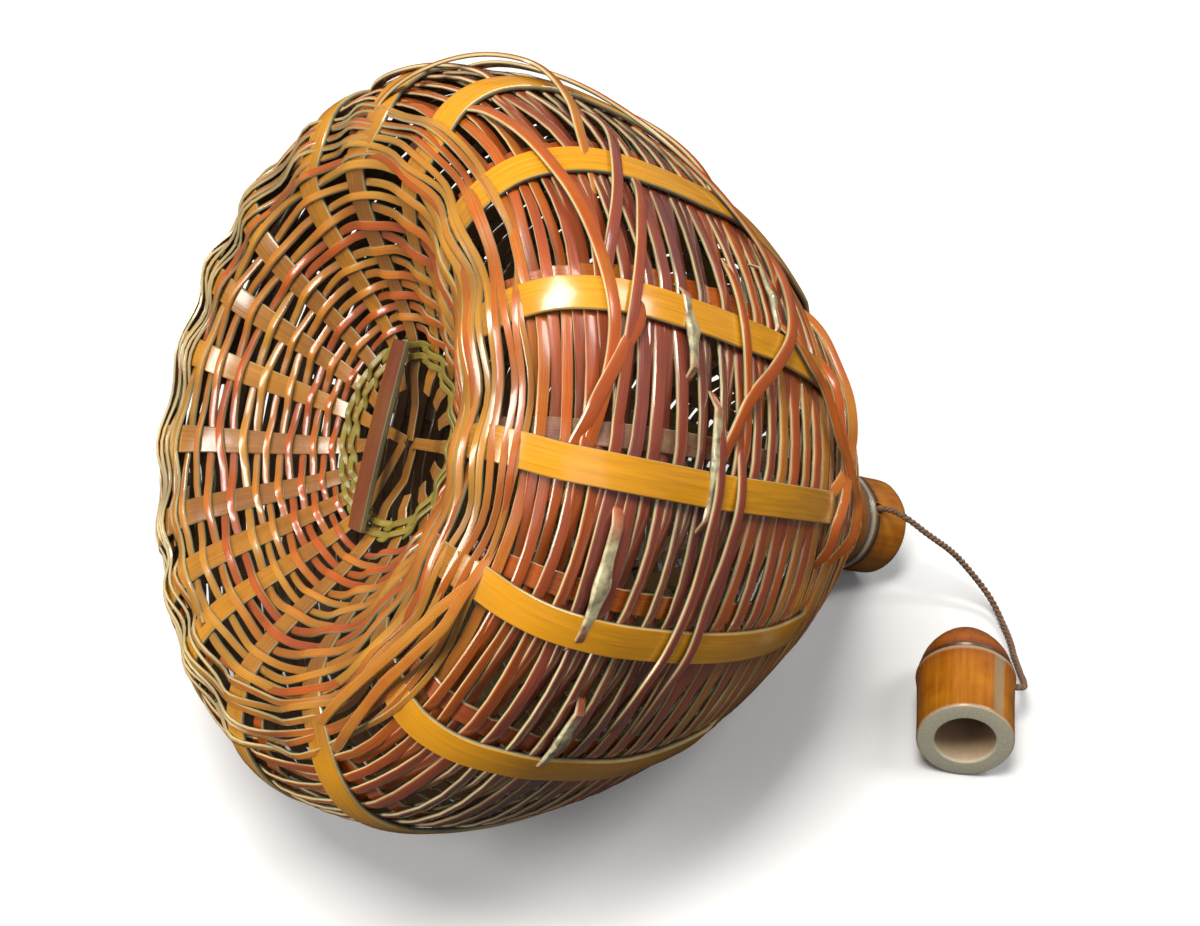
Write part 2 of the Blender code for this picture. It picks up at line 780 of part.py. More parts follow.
def build():
    clear_scene()
    layout = add_empty("layout")
    basket = add_empty("basket_frame", layout)
    stopper_frame = add_empty("stopper_frame", layout)
    pieces = []
    for index, angle in enumerate(strip_angles()):
        pieces.append(add_strip(f"strip_{index + 1:02d}", angle, basket))
    for index in range(STRIP_COUNT):
        pieces.append(add_rib(f"inner_rib_{index + 1:02d}", index, basket))
    for name, start, end in BAND_SHARES:
        if name in COURSES:
            pieces.append(add_wall(name + "_weave", start, end, COURSES[name], basket))
        else:
            pieces.append(add_open_wall(name + "_weave", start, end, basket))
    strand_size = (STRAND_WIDTH, STRAND_THICKNESS, STRAND_END_GAP)
    for name, share in STRAND_SHARES:
        pieces.append(add_strand(name, share, strand_size, "strand", basket))
    binding_size = (BINDING_WIDTH, BINDING_THICKNESS, BINDING_END_GAP)
    for index, share in enumerate(binding_places()):
        pieces.append(add_strand(f"hub_twining_{index + 1}", share, binding_size, "binding", basket))
    pieces.append(add_bar(basket))
    pieces.append(add_neck(basket))
    bpy.context.view_layer.update()
    lay_down_basket(basket, pieces)
    stopper = add_stopper(stopper_frame)
    bpy.context.view_layer.update()
    lay_down_stopper(stopper_frame, stopper)
    bpy.context.view_layer.update()
    length = add_cord(layout, basket, stopper_frame)
    centre_on_table(layout, pieces + [stopper])
    bpy.context.view_layer.update()
    print(f"cord length {length:.4f} m, layout moved by {tuple(round(v, 5) for v in layout.location)}")


build()
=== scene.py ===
"""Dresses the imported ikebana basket: woven split bamboo, a cane neck, and a cane stopper on a twisted cord.

Places on the basket are given as a distance along its skin, from the edge of the hub over the foot to the
neck, and an angle round its axis, from the underside. A lift stands off the skin. Sizes are in metres.
"""

import math
from collections import namedtuple

import bmesh
import bpy
import numpy as np
from mathutils import Matrix, Vector


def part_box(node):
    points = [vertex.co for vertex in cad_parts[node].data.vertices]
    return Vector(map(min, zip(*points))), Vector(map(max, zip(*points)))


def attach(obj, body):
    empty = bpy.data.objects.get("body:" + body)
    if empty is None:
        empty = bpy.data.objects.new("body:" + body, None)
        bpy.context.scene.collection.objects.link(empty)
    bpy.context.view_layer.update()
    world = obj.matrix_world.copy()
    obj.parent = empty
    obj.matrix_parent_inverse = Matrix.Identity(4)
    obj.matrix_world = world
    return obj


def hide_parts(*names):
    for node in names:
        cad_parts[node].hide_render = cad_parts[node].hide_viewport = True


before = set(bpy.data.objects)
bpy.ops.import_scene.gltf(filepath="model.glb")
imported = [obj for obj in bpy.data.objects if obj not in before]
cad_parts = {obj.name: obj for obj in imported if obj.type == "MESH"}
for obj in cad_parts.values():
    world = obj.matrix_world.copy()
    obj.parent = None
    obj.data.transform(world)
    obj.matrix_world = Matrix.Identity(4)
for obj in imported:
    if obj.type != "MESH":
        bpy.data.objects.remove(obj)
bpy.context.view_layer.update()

bl_info = {
    "name": "Ikebana basket",
    "version": (1, 0, 0),
    "blender": (4, 5, 0),
    "location": "3D View > Sidebar > Basket",
    "description": "Weaves a bamboo ikebana basket with a cane neck and a tethered stopper",
    "category": "Add Mesh",
}

MM = 0.001
TURN = 2 * math.pi

# Form of the basket, as in the model's source
BELLY_RADIUS = 0.100
BELLY_HEIGHT = 0.0365
FOOT_RADIUS = 0.071
HUB_RADIUS = 0.020
KICK_DEPTH = 0.0287
COLLAR_HEIGHT = 0.1892
COLLAR_RADIUS = 0.0191
KICK_HOLLOW_SHARE = 1.59
KICK_LIP_SHARE = 1.86
SHOULDER_DROOP_SHARE = 1.15
SKIN_SAMPLES = 400

# Lie of the basket and the stopper on the table
BASKET_TILT_DEGREES = 31.93
BASKET_PLACE = (-0.07371, -0.00028, 0.12531)
STOPPER_UP = (-0.01638, -0.02339, 0.99959)
STOPPER_RIGHT = (0.81915, -0.57358, 0.0)
STOPPER_AXIS = (0.57334, 0.81882, 0.02856)
STOPPER_PLACE = (0.08219, -0.08898, 0.01393)

STRIP_TURNS = (
    0.0, 0.047, 0.088, 0.139, 0.197, 0.247, 0.294, 0.356, 0.408,
    0.475, 0.536, 0.599, 0.664, 0.725, 0.793, 0.872, 0.939,
)
STRIP_ENDS = (
    0.186, 0.192, 0.181, 0.190, 0.196, 0.184, 0.178, 0.193, 0.187,
    0.182, 0.197, 0.188, 0.193, 0.196, 0.178, 0.190, 0.183,
)

# Where a strip wanders from its own angle: distances in millimetres and degrees
STRIP_WANDERS = {
    7: ((55, 0.0), (64, 4.5), (74, 3.5), (95, 0.0)),
    8: ((55, 0.0), (65, 5.5), (72, 4.2), (80, 2.7), (88, 1.3), (100, 0.0)),
    9: ((55, 0.0), (65, 2.4), (70, 0.5), (75, -1.1), (82, -2.4), (89, -3.1), (97, -2.5), (120, 0.0)),
    10: ((50, 0.0), (67, -1.4), (72, -2.0), (80, -2.5), (95, -1.7), (110, -0.4), (130, -0.4), (148, -2.6)),
    11: ((50, 0.0), (71, -1.8), (80, -2.1), (94, -1.3), (110, -0.2), (131, 0.1), (160, -0.7), (181, -1.5)),
    12: ((45, -1.0), (62, -2.5), (73, -1.7), (82, -1.0), (103, -0.8), (125, -0.7), (162, -1.4), (191, -2.0)),
    13: ((50, -1.0), (71, -2.6), (78, -1.7), (88, -1.0), (121, -0.8), (144, -0.3), (171, 0.3), (189, 0.2)),
    14: ((50, -1.0), (64, -1.8), (70, -0.4), (77, 0.0), (86, -0.5), (99, -1.9), (116, -2.0), (138, -0.7)),
    15: ((45, -2.0), (65, -6.0), (71, -5.2), (80, -3.2), (91, -0.6), (100, 0.0)),
}

# Cord, over the table from the neck's hole to the stopper's hole
CORD_SHIFT = (-0.07371, -0.00028, 0.0)
CORD_ROUTE = (
    (0.1807, -0.0164, 0.0308),
    (0.1862, -0.0233, 0.0262),
    (0.1912, -0.0264, 0.0215),
    (0.1958, -0.0297, 0.0158),
    (0.2008, -0.0365, 0.0075),
    (0.2021, -0.0418, 0.0032),
    (0.2013, -0.0471, 0.0014),
    (0.1993, -0.0535, 0.0012),
    (0.1964, -0.0594, 0.0017),
    (0.1926, -0.0666, 0.0042),
    (0.1893, -0.0716, 0.0075),
    (0.1868, -0.0755, 0.0104),
)
NECK_HOLE = (0.10271, -0.00921, 0.02987)
NECK_HOLE_OUT = (0.42787, -0.58779, 0.68661)
STOPPER_HOLE = (0.10672, -0.07906, 0.01456)
CORD_DIAMETER = 0.002
CORD_INSIDE = 0.0010
CORD_STEP = 0.0045
ROUTE_STEPS = 24
PLY_STEPS = 20
TWIST_LENGTH = 0.0034
PLY_APART_SHARE = 0.43

# Camera, as fitted to the photograph's view
CAMERA_PLACE = (-0.17328, -0.35746, 0.43834)
CAMERA_AZIMUTH = -27.029
CAMERA_ELEVATION = 41.852
CAMERA_ROLL = 0.412
CAMERA_LENS = 57.17

# Neck above the collar
NECK_FOOT = -0.0199
NECK_NODE = 0.0083
NECK_END = 0.0245

# Stopper, from its mouth on
STOPPER_NODE = 0.0245
DOME_START = 0.0025
DOME_HEIGHT = 0.0149
DOME_RADIUS = 0.0135
MOUTH_SLANT_DEGREES = 6.0

# Hole for the cord, in the neck and in the stopper
DRILL_RADIUS = 0.0019
DRILL_DEPTH = 0.012
DRILL_PROUD = 0.002
DRILL_SIDES = 24

# Profiles: the place that a row starts from, radius and way past that place in millimetres, then how much of
# cut end, darkening and red shows. The darkening is soot at the nodes and painted shade that deepens down
# into the bores; the neck is also a little darker below its node
NECK_PROFILE = (
    ("foot", 11.0, 0.0, 1, 0, 0), ("foot", 15.1, 0.0, 1, 0, 0), ("foot", 15.15, 0.9, 0, 0.3, 0.6),
    ("collar", 15.2, -6.0, 0, 0.25, 0.6), ("collar", 15.2, 1.0, 0, 0.30, 0.6),
    ("node", 15.2, -4.0, 0, 0.35, 0.5), ("node", 15.15, -3.0, 0, 0.45, 0.4),
    ("node", 15.1, -2.6, 0.4, 0.70, 0), ("node", 14.7, -1.1, 0.5, 0.75, 0),
    ("node", 14.5, -0.6, 0.5, 0.95, 0), ("node", 15.0, -0.2, 0.7, 0.5, 0), ("node", 15.55, 0.2, 0.8, 0.35, 0),
    ("node", 15.6, 0.8, 0.5, 0.7, 0), ("node", 15.4, 1.6, 0.4, 0.8, 0), ("node", 15.2, 2.6, 0, 1.0, 0),
    ("node", 15.2, 3.4, 0, 0.3, 0.3), ("node", 15.2, 5.0, 0, 0.0, 0.15),
    ("node", 15.2, 10.0, 0, 0.0, 0), ("end", 15.2, -2.5, 0, 0.0, 0), ("end", 15.1, -1.2, 0, 0.1, 0),
    ("end", 14.8, -0.5, 0.1, 0.2, 0), ("end", 14.3, -0.1, 0.7, 0.1, 0), ("end", 14.0, 0.0, 1, 0, 0),
    # The end face's inner edge, then the bore, darker the deeper it runs: painted shade
    ("end", 11.6, 0.0, 1, 0, 0), ("end", 11.2, -0.2, 1, 0.1, 0), ("end", 11.0, -0.8, 1, 0.2, 0),
    ("end", 11.0, -10.0, 0.8, 0.4, 0), ("collar", 11.0, 0.0, 0.8, 0.6, 0),
)
STOPPER_PROFILE = (
    # The first rows line the bore from its bottom to the mouth, darker the deeper they lie: painted shade
    ("mouth", 0.0, 21.4, 0.6, 0.6, 0), ("mouth", 6.0, 21.0, 0.6, 0.55, 0), ("mouth", 8.0, 19.6, 0.6, 0.5, 0),
    ("mouth", 8.6, 17.0, 0.5, 0.45, 0), ("mouth", 8.6, 8.0, 0.5, 0.25, 0), ("mouth", 8.6, 1.0, 0.6, 0.05, 0),
    ("mouth", 8.8, 0.2, 1, 0, 0), ("mouth", 9.1, 0.0, 1, 0, 0), ("mouth", 13.2, 0.0, 1, 0, 0),
    ("mouth", 13.6, 0.1, 0.8, 0, 0), ("mouth", 13.95, 0.6, 0.3, 0.1, 0), ("mouth", 14.0, 1.3, 0, 0.1, 0.1),
    ("mouth", 14.0, 6.0, 0, 0, 0), ("mouth", 14.1, 14.0, 0, 0, 0.1), ("mouth", 14.3, 20.0, 0, 0.05, 0.3),
    ("node", 14.6, -2.2, 0, 0.2, 0.5), ("node", 14.7, -1.2, 0.5, 0.1, 0), ("node", 14.6, -0.6, 0.2, 0.6, 0),
    ("node", 13.9, 0.0, 0, 1, 0), ("node", 14.2, 0.7, 0, 0.8, 0.3), ("node", 14.0, 1.5, 0, 0.35, 0.7),
    ("node", 13.5, 2.5, 0, 0.15, 0.9),
)
DOME_SHARES = (0.12, 0.26, 0.40, 0.54, 0.68, 0.80, 0.90, 0.97)
TURNED_SIDES = 96

# The flat groove that a branch left: angle, first and last height, depth, half its width as an angle, the
# least radius that it cuts, and how bare it is
Groove = namedtuple("Groove", "angle start stop depth half least bare")

# Lamps: name, place, width, height, watts and colour
LAMPS = (
    ("key", (-0.45, -0.22, 2.15), 0.60, 1.00, 40.0, (1.0, 0.97, 0.92)),
    ("side", (-1.90, 0.10, 1.00), 0.46, 1.30, 31.0, (1.0, 0.98, 0.95)),
    ("fill", (-0.30, -1.90, 1.50), 1.20, 1.20, 4.5, (0.96, 0.98, 1.0)),
    ("right", (1.15, -0.50, 1.65), 0.45, 0.80, 12.0, (1.0, 0.98, 0.95)),
)
SKY_LIGHT = (0.19, 0.20, 0.21, 1)
SKY_SEEN = (0.95, 0.95, 0.95, 1)
FLOOR_REACH = 3.0
FLOOR_SINK = 0.0004


def linear(code):
    """A linear colour from an sRGB hex value."""
    parts = [int(code[i : i + 2], 16) / 255 for i in (1, 3, 5)]
    return tuple(v / 12.92 if v <= 0.04045 else ((v + 0.055) / 1.055) ** 2.4 for v in parts)


def rgba(colour):
    """The colour with full opacity."""
    return (*colour, 1.0)


def scaled(colour, factor):
    """A lighter or darker form of the colour."""
    return tuple(min(1.0, part * factor) for part in colour)


class BasketSizes(bpy.types.PropertyGroup):
    """Sizes of the split bamboo."""

    strip_width: bpy.props.FloatProperty(
        name="Strip width", description="Width of an outer strip", default=0.0084, unit="LENGTH")
    strip_thickness: bpy.props.FloatProperty(
        name="Strip thickness", description="Thickness of an outer strip", default=0.0013, unit="LENGTH")
    weaver_width: bpy.props.FloatProperty(
        name="Weaver width", description="Width of a weaver on the side", default=0.0040, unit="LENGTH")
    weaver_thickness: bpy.props.FloatProperty(
        name="Weaver thickness", description="Thickness of a weaver on the side", default=0.00125,
        unit="LENGTH")
    course: bpy.props.FloatProperty(
        name="Course", description="Distance from one course of the side to the next", default=0.00345,
        unit="LENGTH")
    rib_width: bpy.props.FloatProperty(
        name="Rib width", description="Width of an inner rib", default=0.0056, unit="LENGTH")
    twining_width: bpy.props.FloatProperty(
        name="Twining width", description="Width of a twining strand at the hub", default=0.0018,
        unit="LENGTH")
    bar_width: bpy.props.FloatProperty(
        name="Bar width", description="Width of the bar across the hub", default=0.0068, unit="LENGTH")
    ply_diameter: bpy.props.FloatProperty(
        name="Ply diameter", description="Diameter of each of the cord's two plies", default=0.00108,
        unit="LENGTH")


class BasketColours(bpy.types.PropertyGroup):
    """Colours of the finishes."""

    amber: bpy.props.FloatVectorProperty(
        name="Amber", description="Lacquered outer strips", subtype="COLOR", default=linear("#DA9418"))
    gold: bpy.props.FloatVectorProperty(
        name="Gold", description="Lightest weavers", subtype="COLOR", default=linear("#C88C30"))
    orange: bpy.props.FloatVectorProperty(
        name="Orange", description="Orange-brown weavers", subtype="COLOR", default=linear("#C05A1A"))
    mahogany: bpy.props.FloatVectorProperty(
        name="Mahogany", description="Red-brown weavers", subtype="COLOR", default=linear("#A04C34"))
    plum: bpy.props.FloatVectorProperty(
        name="Plum", description="Darkest weavers", subtype="COLOR", default=linear("#7C4239"))
    straw: bpy.props.FloatVectorProperty(
        name="Straw", description="Pale cut edges", subtype="COLOR", default=linear("#D9CB94"))
    rattan: bpy.props.FloatVectorProperty(
        name="Rattan", description="Twining at the hub", subtype="COLOR", default=linear("#8E7C34"))
    cane: bpy.props.FloatVectorProperty(
        name="Cane", description="Polished neck and stopper", subtype="COLOR", default=linear("#C07818"))
    cord: bpy.props.FloatVectorProperty(
        name="Cord", description="Twisted cord", subtype="COLOR", default=linear("#6A4E38"))


# Skin of the basket


def skin_table():
    """Distance, radius and height along the skin, from the centre of the hub to the collar."""
    out = np.linspace(0, 1, SKIN_SAMPLES)
    kick = (
        HUB_RADIUS + (FOOT_RADIUS - HUB_RADIUS) * out,
        KICK_DEPTH * (1 - out**KICK_HOLLOW_SHARE) ** KICK_LIP_SHARE,
    )
    angle = np.linspace(0, math.pi / 2, SKIN_SAMPLES)
    lip = (
        FOOT_RADIUS + (BELLY_RADIUS - FOOT_RADIUS) * np.sin(angle),
        BELLY_HEIGHT * (1 - np.cos(angle)),
    )
    along = np.sin(angle)
    fall = np.clip(1 - along**2, 0, 1) ** SHOULDER_DROOP_SHARE
    side = (
        COLLAR_RADIUS + (BELLY_RADIUS - COLLAR_RADIUS) * fall,
        BELLY_HEIGHT + (COLLAR_HEIGHT - BELLY_HEIGHT) * along,
    )
    radius = np.concatenate([curve[0][1:] for curve in (kick, lip, side)])
    height = np.concatenate([curve[1][1:] for curve in (kick, lip, side)])
    distance = np.concatenate([[0], np.cumsum(np.hypot(np.diff(radius), np.diff(height)))])
    radius = np.concatenate([[0], radius])
    height = np.concatenate([[height[0]], height])
    distance = np.concatenate([[-HUB_RADIUS], distance])
    return distance, radius, height


SKIN, SKIN_RADIUS, SKIN_HEIGHT = skin_table()
SKIN_OUT = np.gradient(SKIN_RADIUS, SKIN)
SKIN_UP = np.gradient(SKIN_HEIGHT, SKIN)
SKIN_END = float(SKIN[-1])
END = SKIN_END / MM
BASKET = Matrix.Translation(BASKET_PLACE) @ Matrix.Rotation(
    math.radians(90 + BASKET_TILT_DEGREES), 4, "Y")
BASKET_TURN = np.array(BASKET.to_3x3())
BASKET_ORIGIN = np.array(BASKET.translation)
STOPPER_TURN = np.array([STOPPER_UP, STOPPER_RIGHT, STOPPER_AXIS]).T
STRIPS = np.array(STRIP_TURNS) * TURN
MIDDLES = (STRIPS + np.append(STRIPS[1:], TURN)) / 2


def value_at(rows, distance):
    """Values at distances in metres, from rows of a distance in millimetres and the value there."""
    places, values = zip(*rows)
    return np.interp(distance, np.array(places) * MM, values)


def on_skin(distance, angle, lift):
    """World points on the skin, with the outward and the onward direction at each."""
    distance, angle, lift = np.broadcast_arrays(
        np.asarray(distance, float), np.asarray(angle, float), np.asarray(lift, float))
    out = np.interp(distance, SKIN, SKIN_OUT)
    up = np.interp(distance, SKIN, SKIN_UP)
    length = np.hypot(out, up)
    out, up = out / length, up / length
    radius = np.interp(distance, SKIN, SKIN_RADIUS) + up * lift
    height = np.interp(distance, SKIN, SKIN_HEIGHT) - out * lift
    cosine, sine = np.cos(angle), np.sin(angle)
    points = np.stack([radius * cosine, radius * sine, height], 1)
    outward = np.stack([up * cosine, up * sine, -out], 1)
    onward = np.stack([out * cosine, out * sine, up], 1)
    return (
        points @ BASKET_TURN.T + BASKET_ORIGIN,
        outward @ BASKET_TURN.T,
        onward @ BASKET_TURN.T,
    )


# Nodes


def add_node(tree, kind, inputs=None, **settings):
    """One node with its settings. An input is a value, an output, or a node, which gives its first output."""
    made = tree.nodes.new(kind)
    for name, value in settings.items():
        setattr(made, name, value)
    for name, value in (inputs or {}).items():
        if isinstance(value, bpy.types.Node):
            value = value.outputs[0]
        if isinstance(value, bpy.types.NodeSocket):
            tree.links.new(value, made.inputs[name])
        else:
            made.inputs[name].default_value = value
    return made


def strand_tree():
    """Sweeps a flat section with rounded corners along paths, square to each point's outward direction.

    The section is one wide, so that a path's strand width scales it. Its outer face is crowned.
    """
    tree = bpy.data.node_groups.new("Flat strand", "GeometryNodeTree")
    tree.interface.new_socket("Geometry", in_out="INPUT", socket_type="NodeSocketGeometry")
    for name, value in (("Thickness share", 0.25), ("Corner share", 0.04), ("Crown share", 0.0)):
        socket = tree.interface.new_socket(name, in_out="INPUT", socket_type="NodeSocketFloat")
        socket.default_value = value
    cuts = tree.interface.new_socket("Face cuts", in_out="INPUT", socket_type="NodeSocketInt")
    cuts.default_value = 0
    tree.interface.new_socket("Material", in_out="INPUT", socket_type="NodeSocketMaterial")
    tree.interface.new_socket("Geometry", in_out="OUTPUT", socket_type="NodeSocketGeometry")
    given = add_node(tree, "NodeGroupInput").outputs

    box = add_node(tree, "GeometryNodeCurvePrimitiveQuadrilateral",
                   {"Width": 1.0, "Height": given["Thickness share"]})
    round_box = add_node(tree, "GeometryNodeFilletCurve",
                         {"Curve": box, "Radius": given["Corner share"], "Count": 1}, mode="POLY")
    cut_box = add_node(tree, "GeometryNodeSubdivideCurve",
                       {"Curve": round_box, "Cuts": given["Face cuts"]})
    place = add_node(tree, "GeometryNodeInputPosition")
    parts = add_node(tree, "ShaderNodeSeparateXYZ", {0: place}).outputs
    across = add_node(tree, "ShaderNodeMath", {0: parts["X"]}, operation="ABSOLUTE")
    inset = add_node(tree, "ShaderNodeMath", {0: given["Corner share"], 1: 0.5}, operation="MULTIPLY")
    limit = add_node(tree, "ShaderNodeMath", {0: 0.5, 1: inset}, operation="SUBTRACT")
    at_side = add_node(tree, "ShaderNodeMath", {0: across, 1: limit}, operation="GREATER_THAN")
    inside = add_node(tree, "ShaderNodeMath", {0: parts["Y"], 1: 0.0}, operation="LESS_THAN")
    dull = add_node(tree, "ShaderNodeMath", {0: inside, 1: 0.5}, operation="MULTIPLY")
    edge = add_node(tree, "ShaderNodeMath", {0: at_side, 1: dull}, operation="MAXIMUM")
    marked = add_node(tree, "GeometryNodeStoreNamedAttribute",
                      {"Geometry": cut_box, "Name": "edge", "Value": edge},
                      data_type="FLOAT", domain="POINT")
    marked = add_node(tree, "GeometryNodeStoreNamedAttribute",
                      {"Geometry": marked, "Name": "across", "Value": parts["X"]},
                      data_type="FLOAT", domain="POINT")
    # inner marks the face towards the inside of the basket; the bamboo finish paints shade on it
    marked = add_node(tree, "GeometryNodeStoreNamedAttribute",
                      {"Geometry": marked, "Name": "inner", "Value": inside},
                      data_type="FLOAT", domain="POINT")
    square = add_node(tree, "ShaderNodeMath", {0: across, 1: across}, operation="MULTIPLY")
    fall = add_node(tree, "ShaderNodeMath", {0: 0.25, 1: square}, operation="SUBTRACT")
    crown = add_node(tree, "ShaderNodeMath", {0: fall, 1: given["Crown share"]}, operation="MULTIPLY")
    outside = add_node(tree, "ShaderNodeMath", {0: edge, 1: 0.25}, operation="LESS_THAN")
    rise = add_node(tree, "ShaderNodeMath", {0: crown, 1: outside}, operation="MULTIPLY")
    move = add_node(tree, "ShaderNodeCombineXYZ", {"Y": rise})
    crowned = add_node(tree, "GeometryNodeSetPosition", {"Geometry": marked, "Offset": move})
    turned = add_node(tree, "GeometryNodeTransform",
                      {"Geometry": crowned, "Rotation": (0, 0, -math.pi / 2)})

    line = add_node(tree, "GeometryNodeMeshToCurve", {"Mesh": given["Geometry"]})
    outward = add_node(tree, "GeometryNodeInputNamedAttribute", {"Name": "outward"},
                       data_type="FLOAT_VECTOR")
    faced = add_node(tree, "GeometryNodeSetCurveNormal",
                     {"Curve": line, "Normal": outward}, mode="FREE")
    width = add_node(tree, "GeometryNodeInputNamedAttribute", {"Name": "strand_width"}, data_type="FLOAT")
    swept = add_node(tree, "GeometryNodeCurveToMesh",
                     {"Curve": faced, "Profile Curve": turned, "Scale": width, "Fill Caps": True})
    real = add_node(tree, "GeometryNodeRealizeInstances", {"Geometry": swept})
    covered = add_node(tree, "GeometryNodeSetMaterial", {"Geometry": real, "Material": given["Material"]})
    add_node(tree, "NodeGroupOutput", {"Geometry": covered})
    return tree


def put_attribute(mesh, name, values, kind="FLOAT"):
    """Stores a number or a vector at each point of a mesh."""
    values = np.asarray(values, np.float32)
    field = "vector" if kind == "FLOAT_VECTOR" else "value"
    mesh.attributes.new(name, kind, "POINT").data.foreach_set(field, values.ravel())


def add_piece(name, mesh, body, slot, *nodes):
    """Puts a finished mesh in the scene as a piece of the basket, in place of the named nodes."""
    piece = bpy.data.objects.new(name, mesh)
    bpy.context.scene.collection.objects.link(piece)
    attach(piece, body)
    if nodes:
        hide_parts(*nodes)
    return piece


def shade(mesh, degrees=35):
    """Shades a mesh smooth, but for edges that turn by more than the angle."""
    mesh.shade_smooth()
    mesh.set_sharp_from_angle(angle=math.radians(degrees))


def sweep(name, paths, inputs):
    """The swept mesh of paths from finish_path. inputs are the flat strand's own, by name."""
    points = np.concatenate([path["points"] for path in paths])
    ends = np.cumsum([len(path["points"]) for path in paths])
    edges = np.stack([np.arange(len(points) - 1), np.arange(1, len(points))], 1)
    edges = np.delete(edges, ends[:-1] - 1, axis=0)
    mesh = bpy.data.meshes.new(name)
    mesh.vertices.add(len(points))
    mesh.vertices.foreach_set("co", points.astype(np.float32).ravel())
    mesh.edges.add(len(edges))
    mesh.edges.foreach_set("vertices", edges.astype(np.int32).ravel())
    for key in [key for key in paths[0] if key != "points"]:
        kind = "FLOAT_VECTOR" if key == "outward" else "FLOAT"
        put_attribute(mesh, key, np.concatenate([path[key] for path in paths]), kind)
    mesh.update()
    helper = bpy.data.objects.new(name + "_paths", mesh)
    bpy.context.scene.collection.objects.link(helper)
    tree = bpy.data.node_groups.get("Flat strand") or strand_tree()
    modifier = helper.modifiers.new("sweep", "NODES")
    modifier.node_group = tree
    sockets = {item.name: item.identifier for item in tree.interface.items_tree if item.in_out == "INPUT"}
    for key, value in inputs.items():
        modifier[sockets[key]] = value
    graph = bpy.context.evaluated_depsgraph_get()
    swept = bpy.data.meshes.new_from_object(
        helper.evaluated_get(graph), preserve_all_data_layers=True, depsgraph=graph)
    swept.name = name
    bpy.data.objects.remove(helper)
    bpy.data.meshes.remove(mesh)
    for unused in ("outward", "strand_width"):
        if unused in swept.attributes:
            swept.attributes.remove(swept.attributes[unused])
    shade(swept)
    return swept


def way_along(points):
    """The length of a line up to each of its points."""
    return np.concatenate([[0], np.cumsum(np.linalg.norm(np.diff(points, axis=0), axis=1))])


def finish_path(points, outward, width, tone, pale=0.0, deep=0.0, worn=0.0):
    """A path to sweep, with what its finish shows at each point.

    tone runs from the lightest stain to the darkest, pale is a scraped knot, deep is shade in a recess, and
    worn is soot on the cut edges. own tells one strand's grain from another's.
    """
    path = {"points": points, "outward": outward}
    values = {"strand_width": width, "tone": tone, "pale": pale, "deep": deep, "worn": worn,
              "own": np.ravel(tone)[0], "along": way_along(points)}
    for name, value in values.items():
        path[name] = np.broadcast_to(np.asarray(value, float), len(points)).copy()
    return path


def lean(outward, onward, degrees):
    """Outward directions leaned towards the neck, which lifts a strand's edge on the base's side."""
    angle = np.radians(degrees)[..., None]
    return outward * np.cos(angle) + onward * np.sin(angle)


def curve_between(rows, count):
    """A smooth curve through rows of numbers, from the second row to the last but one."""
    t = np.linspace(0, 1, count, endpoint=False)[:, None]
    found = []
    for before, start, end, after in zip(rows, rows[1:], rows[2:], rows[3:]):
        found.append(
            before * (-0.5 * t**3 + t**2 - 0.5 * t) + start * (1.5 * t**3 - 2.5 * t**2 + 1)
            + end * (-1.5 * t**3 + 2 * t**2 + 0.5 * t) + after * (0.5 * t**3 - 0.5 * t**2))
    return np.concatenate(found + [rows[-2:-1]])


def through(rows, count):
    """A smooth curve through all of the rows, evenly divided between them."""
    rows = np.array(rows, float)
    return curve_between(np.concatenate([[2 * rows[0] - rows[1]], rows, [2 * rows[-1] - rows[-2]]]), count)


def eased(places, values, wanted):
    """Values between places, with no kink at a place."""
    margin, window = 20 * MM, 15
    fine = np.arange(places[0] - margin, places[-1] + margin, MM)
    values = np.interp(fine, places, values)
    kernel = np.hanning(window)
    values = np.convolve(np.pad(values, window // 2, mode="edge"), kernel / kernel.sum(), mode="valid")
    return np.interp(wanted, fine, values)


# Weave

# Courses: rows of a distance in millimetres and the pitch there, in millimetres for the base and the rim,
# and as a share of the course for the side and the shoulder
BASE_COURSES = ((8.5, 3.0), (20, 3.3), (54, 3.7))
RIM_COURSES = ((55.5, 2.7), (71, 2.6))
SIDE_COURSE_SHARES = ((71.5, 0.80), (101.5, 0.86), (121.5, 1.0), (178, 1.0))
SHOULDER_COURSE_SHARES = ((181.5, 1.0), (211.5, 1.0), (231.5, 1.0), (END - 2, 0.8))

# Lifts of the weavers in millimetres, where they pass over and under. The rim's are the least and the most.
BASE_OVER, BASE_UNDER = 0.5, -1.8
SIDE_OVER, SIDE_UNDER = -1.1, -3.8
UNDER_STRIP, PAST_STRIP = -1.95, -0.9
RIM_OVER, RIM_SLACK = (0.3, 1.3), (-2.6, -0.9)

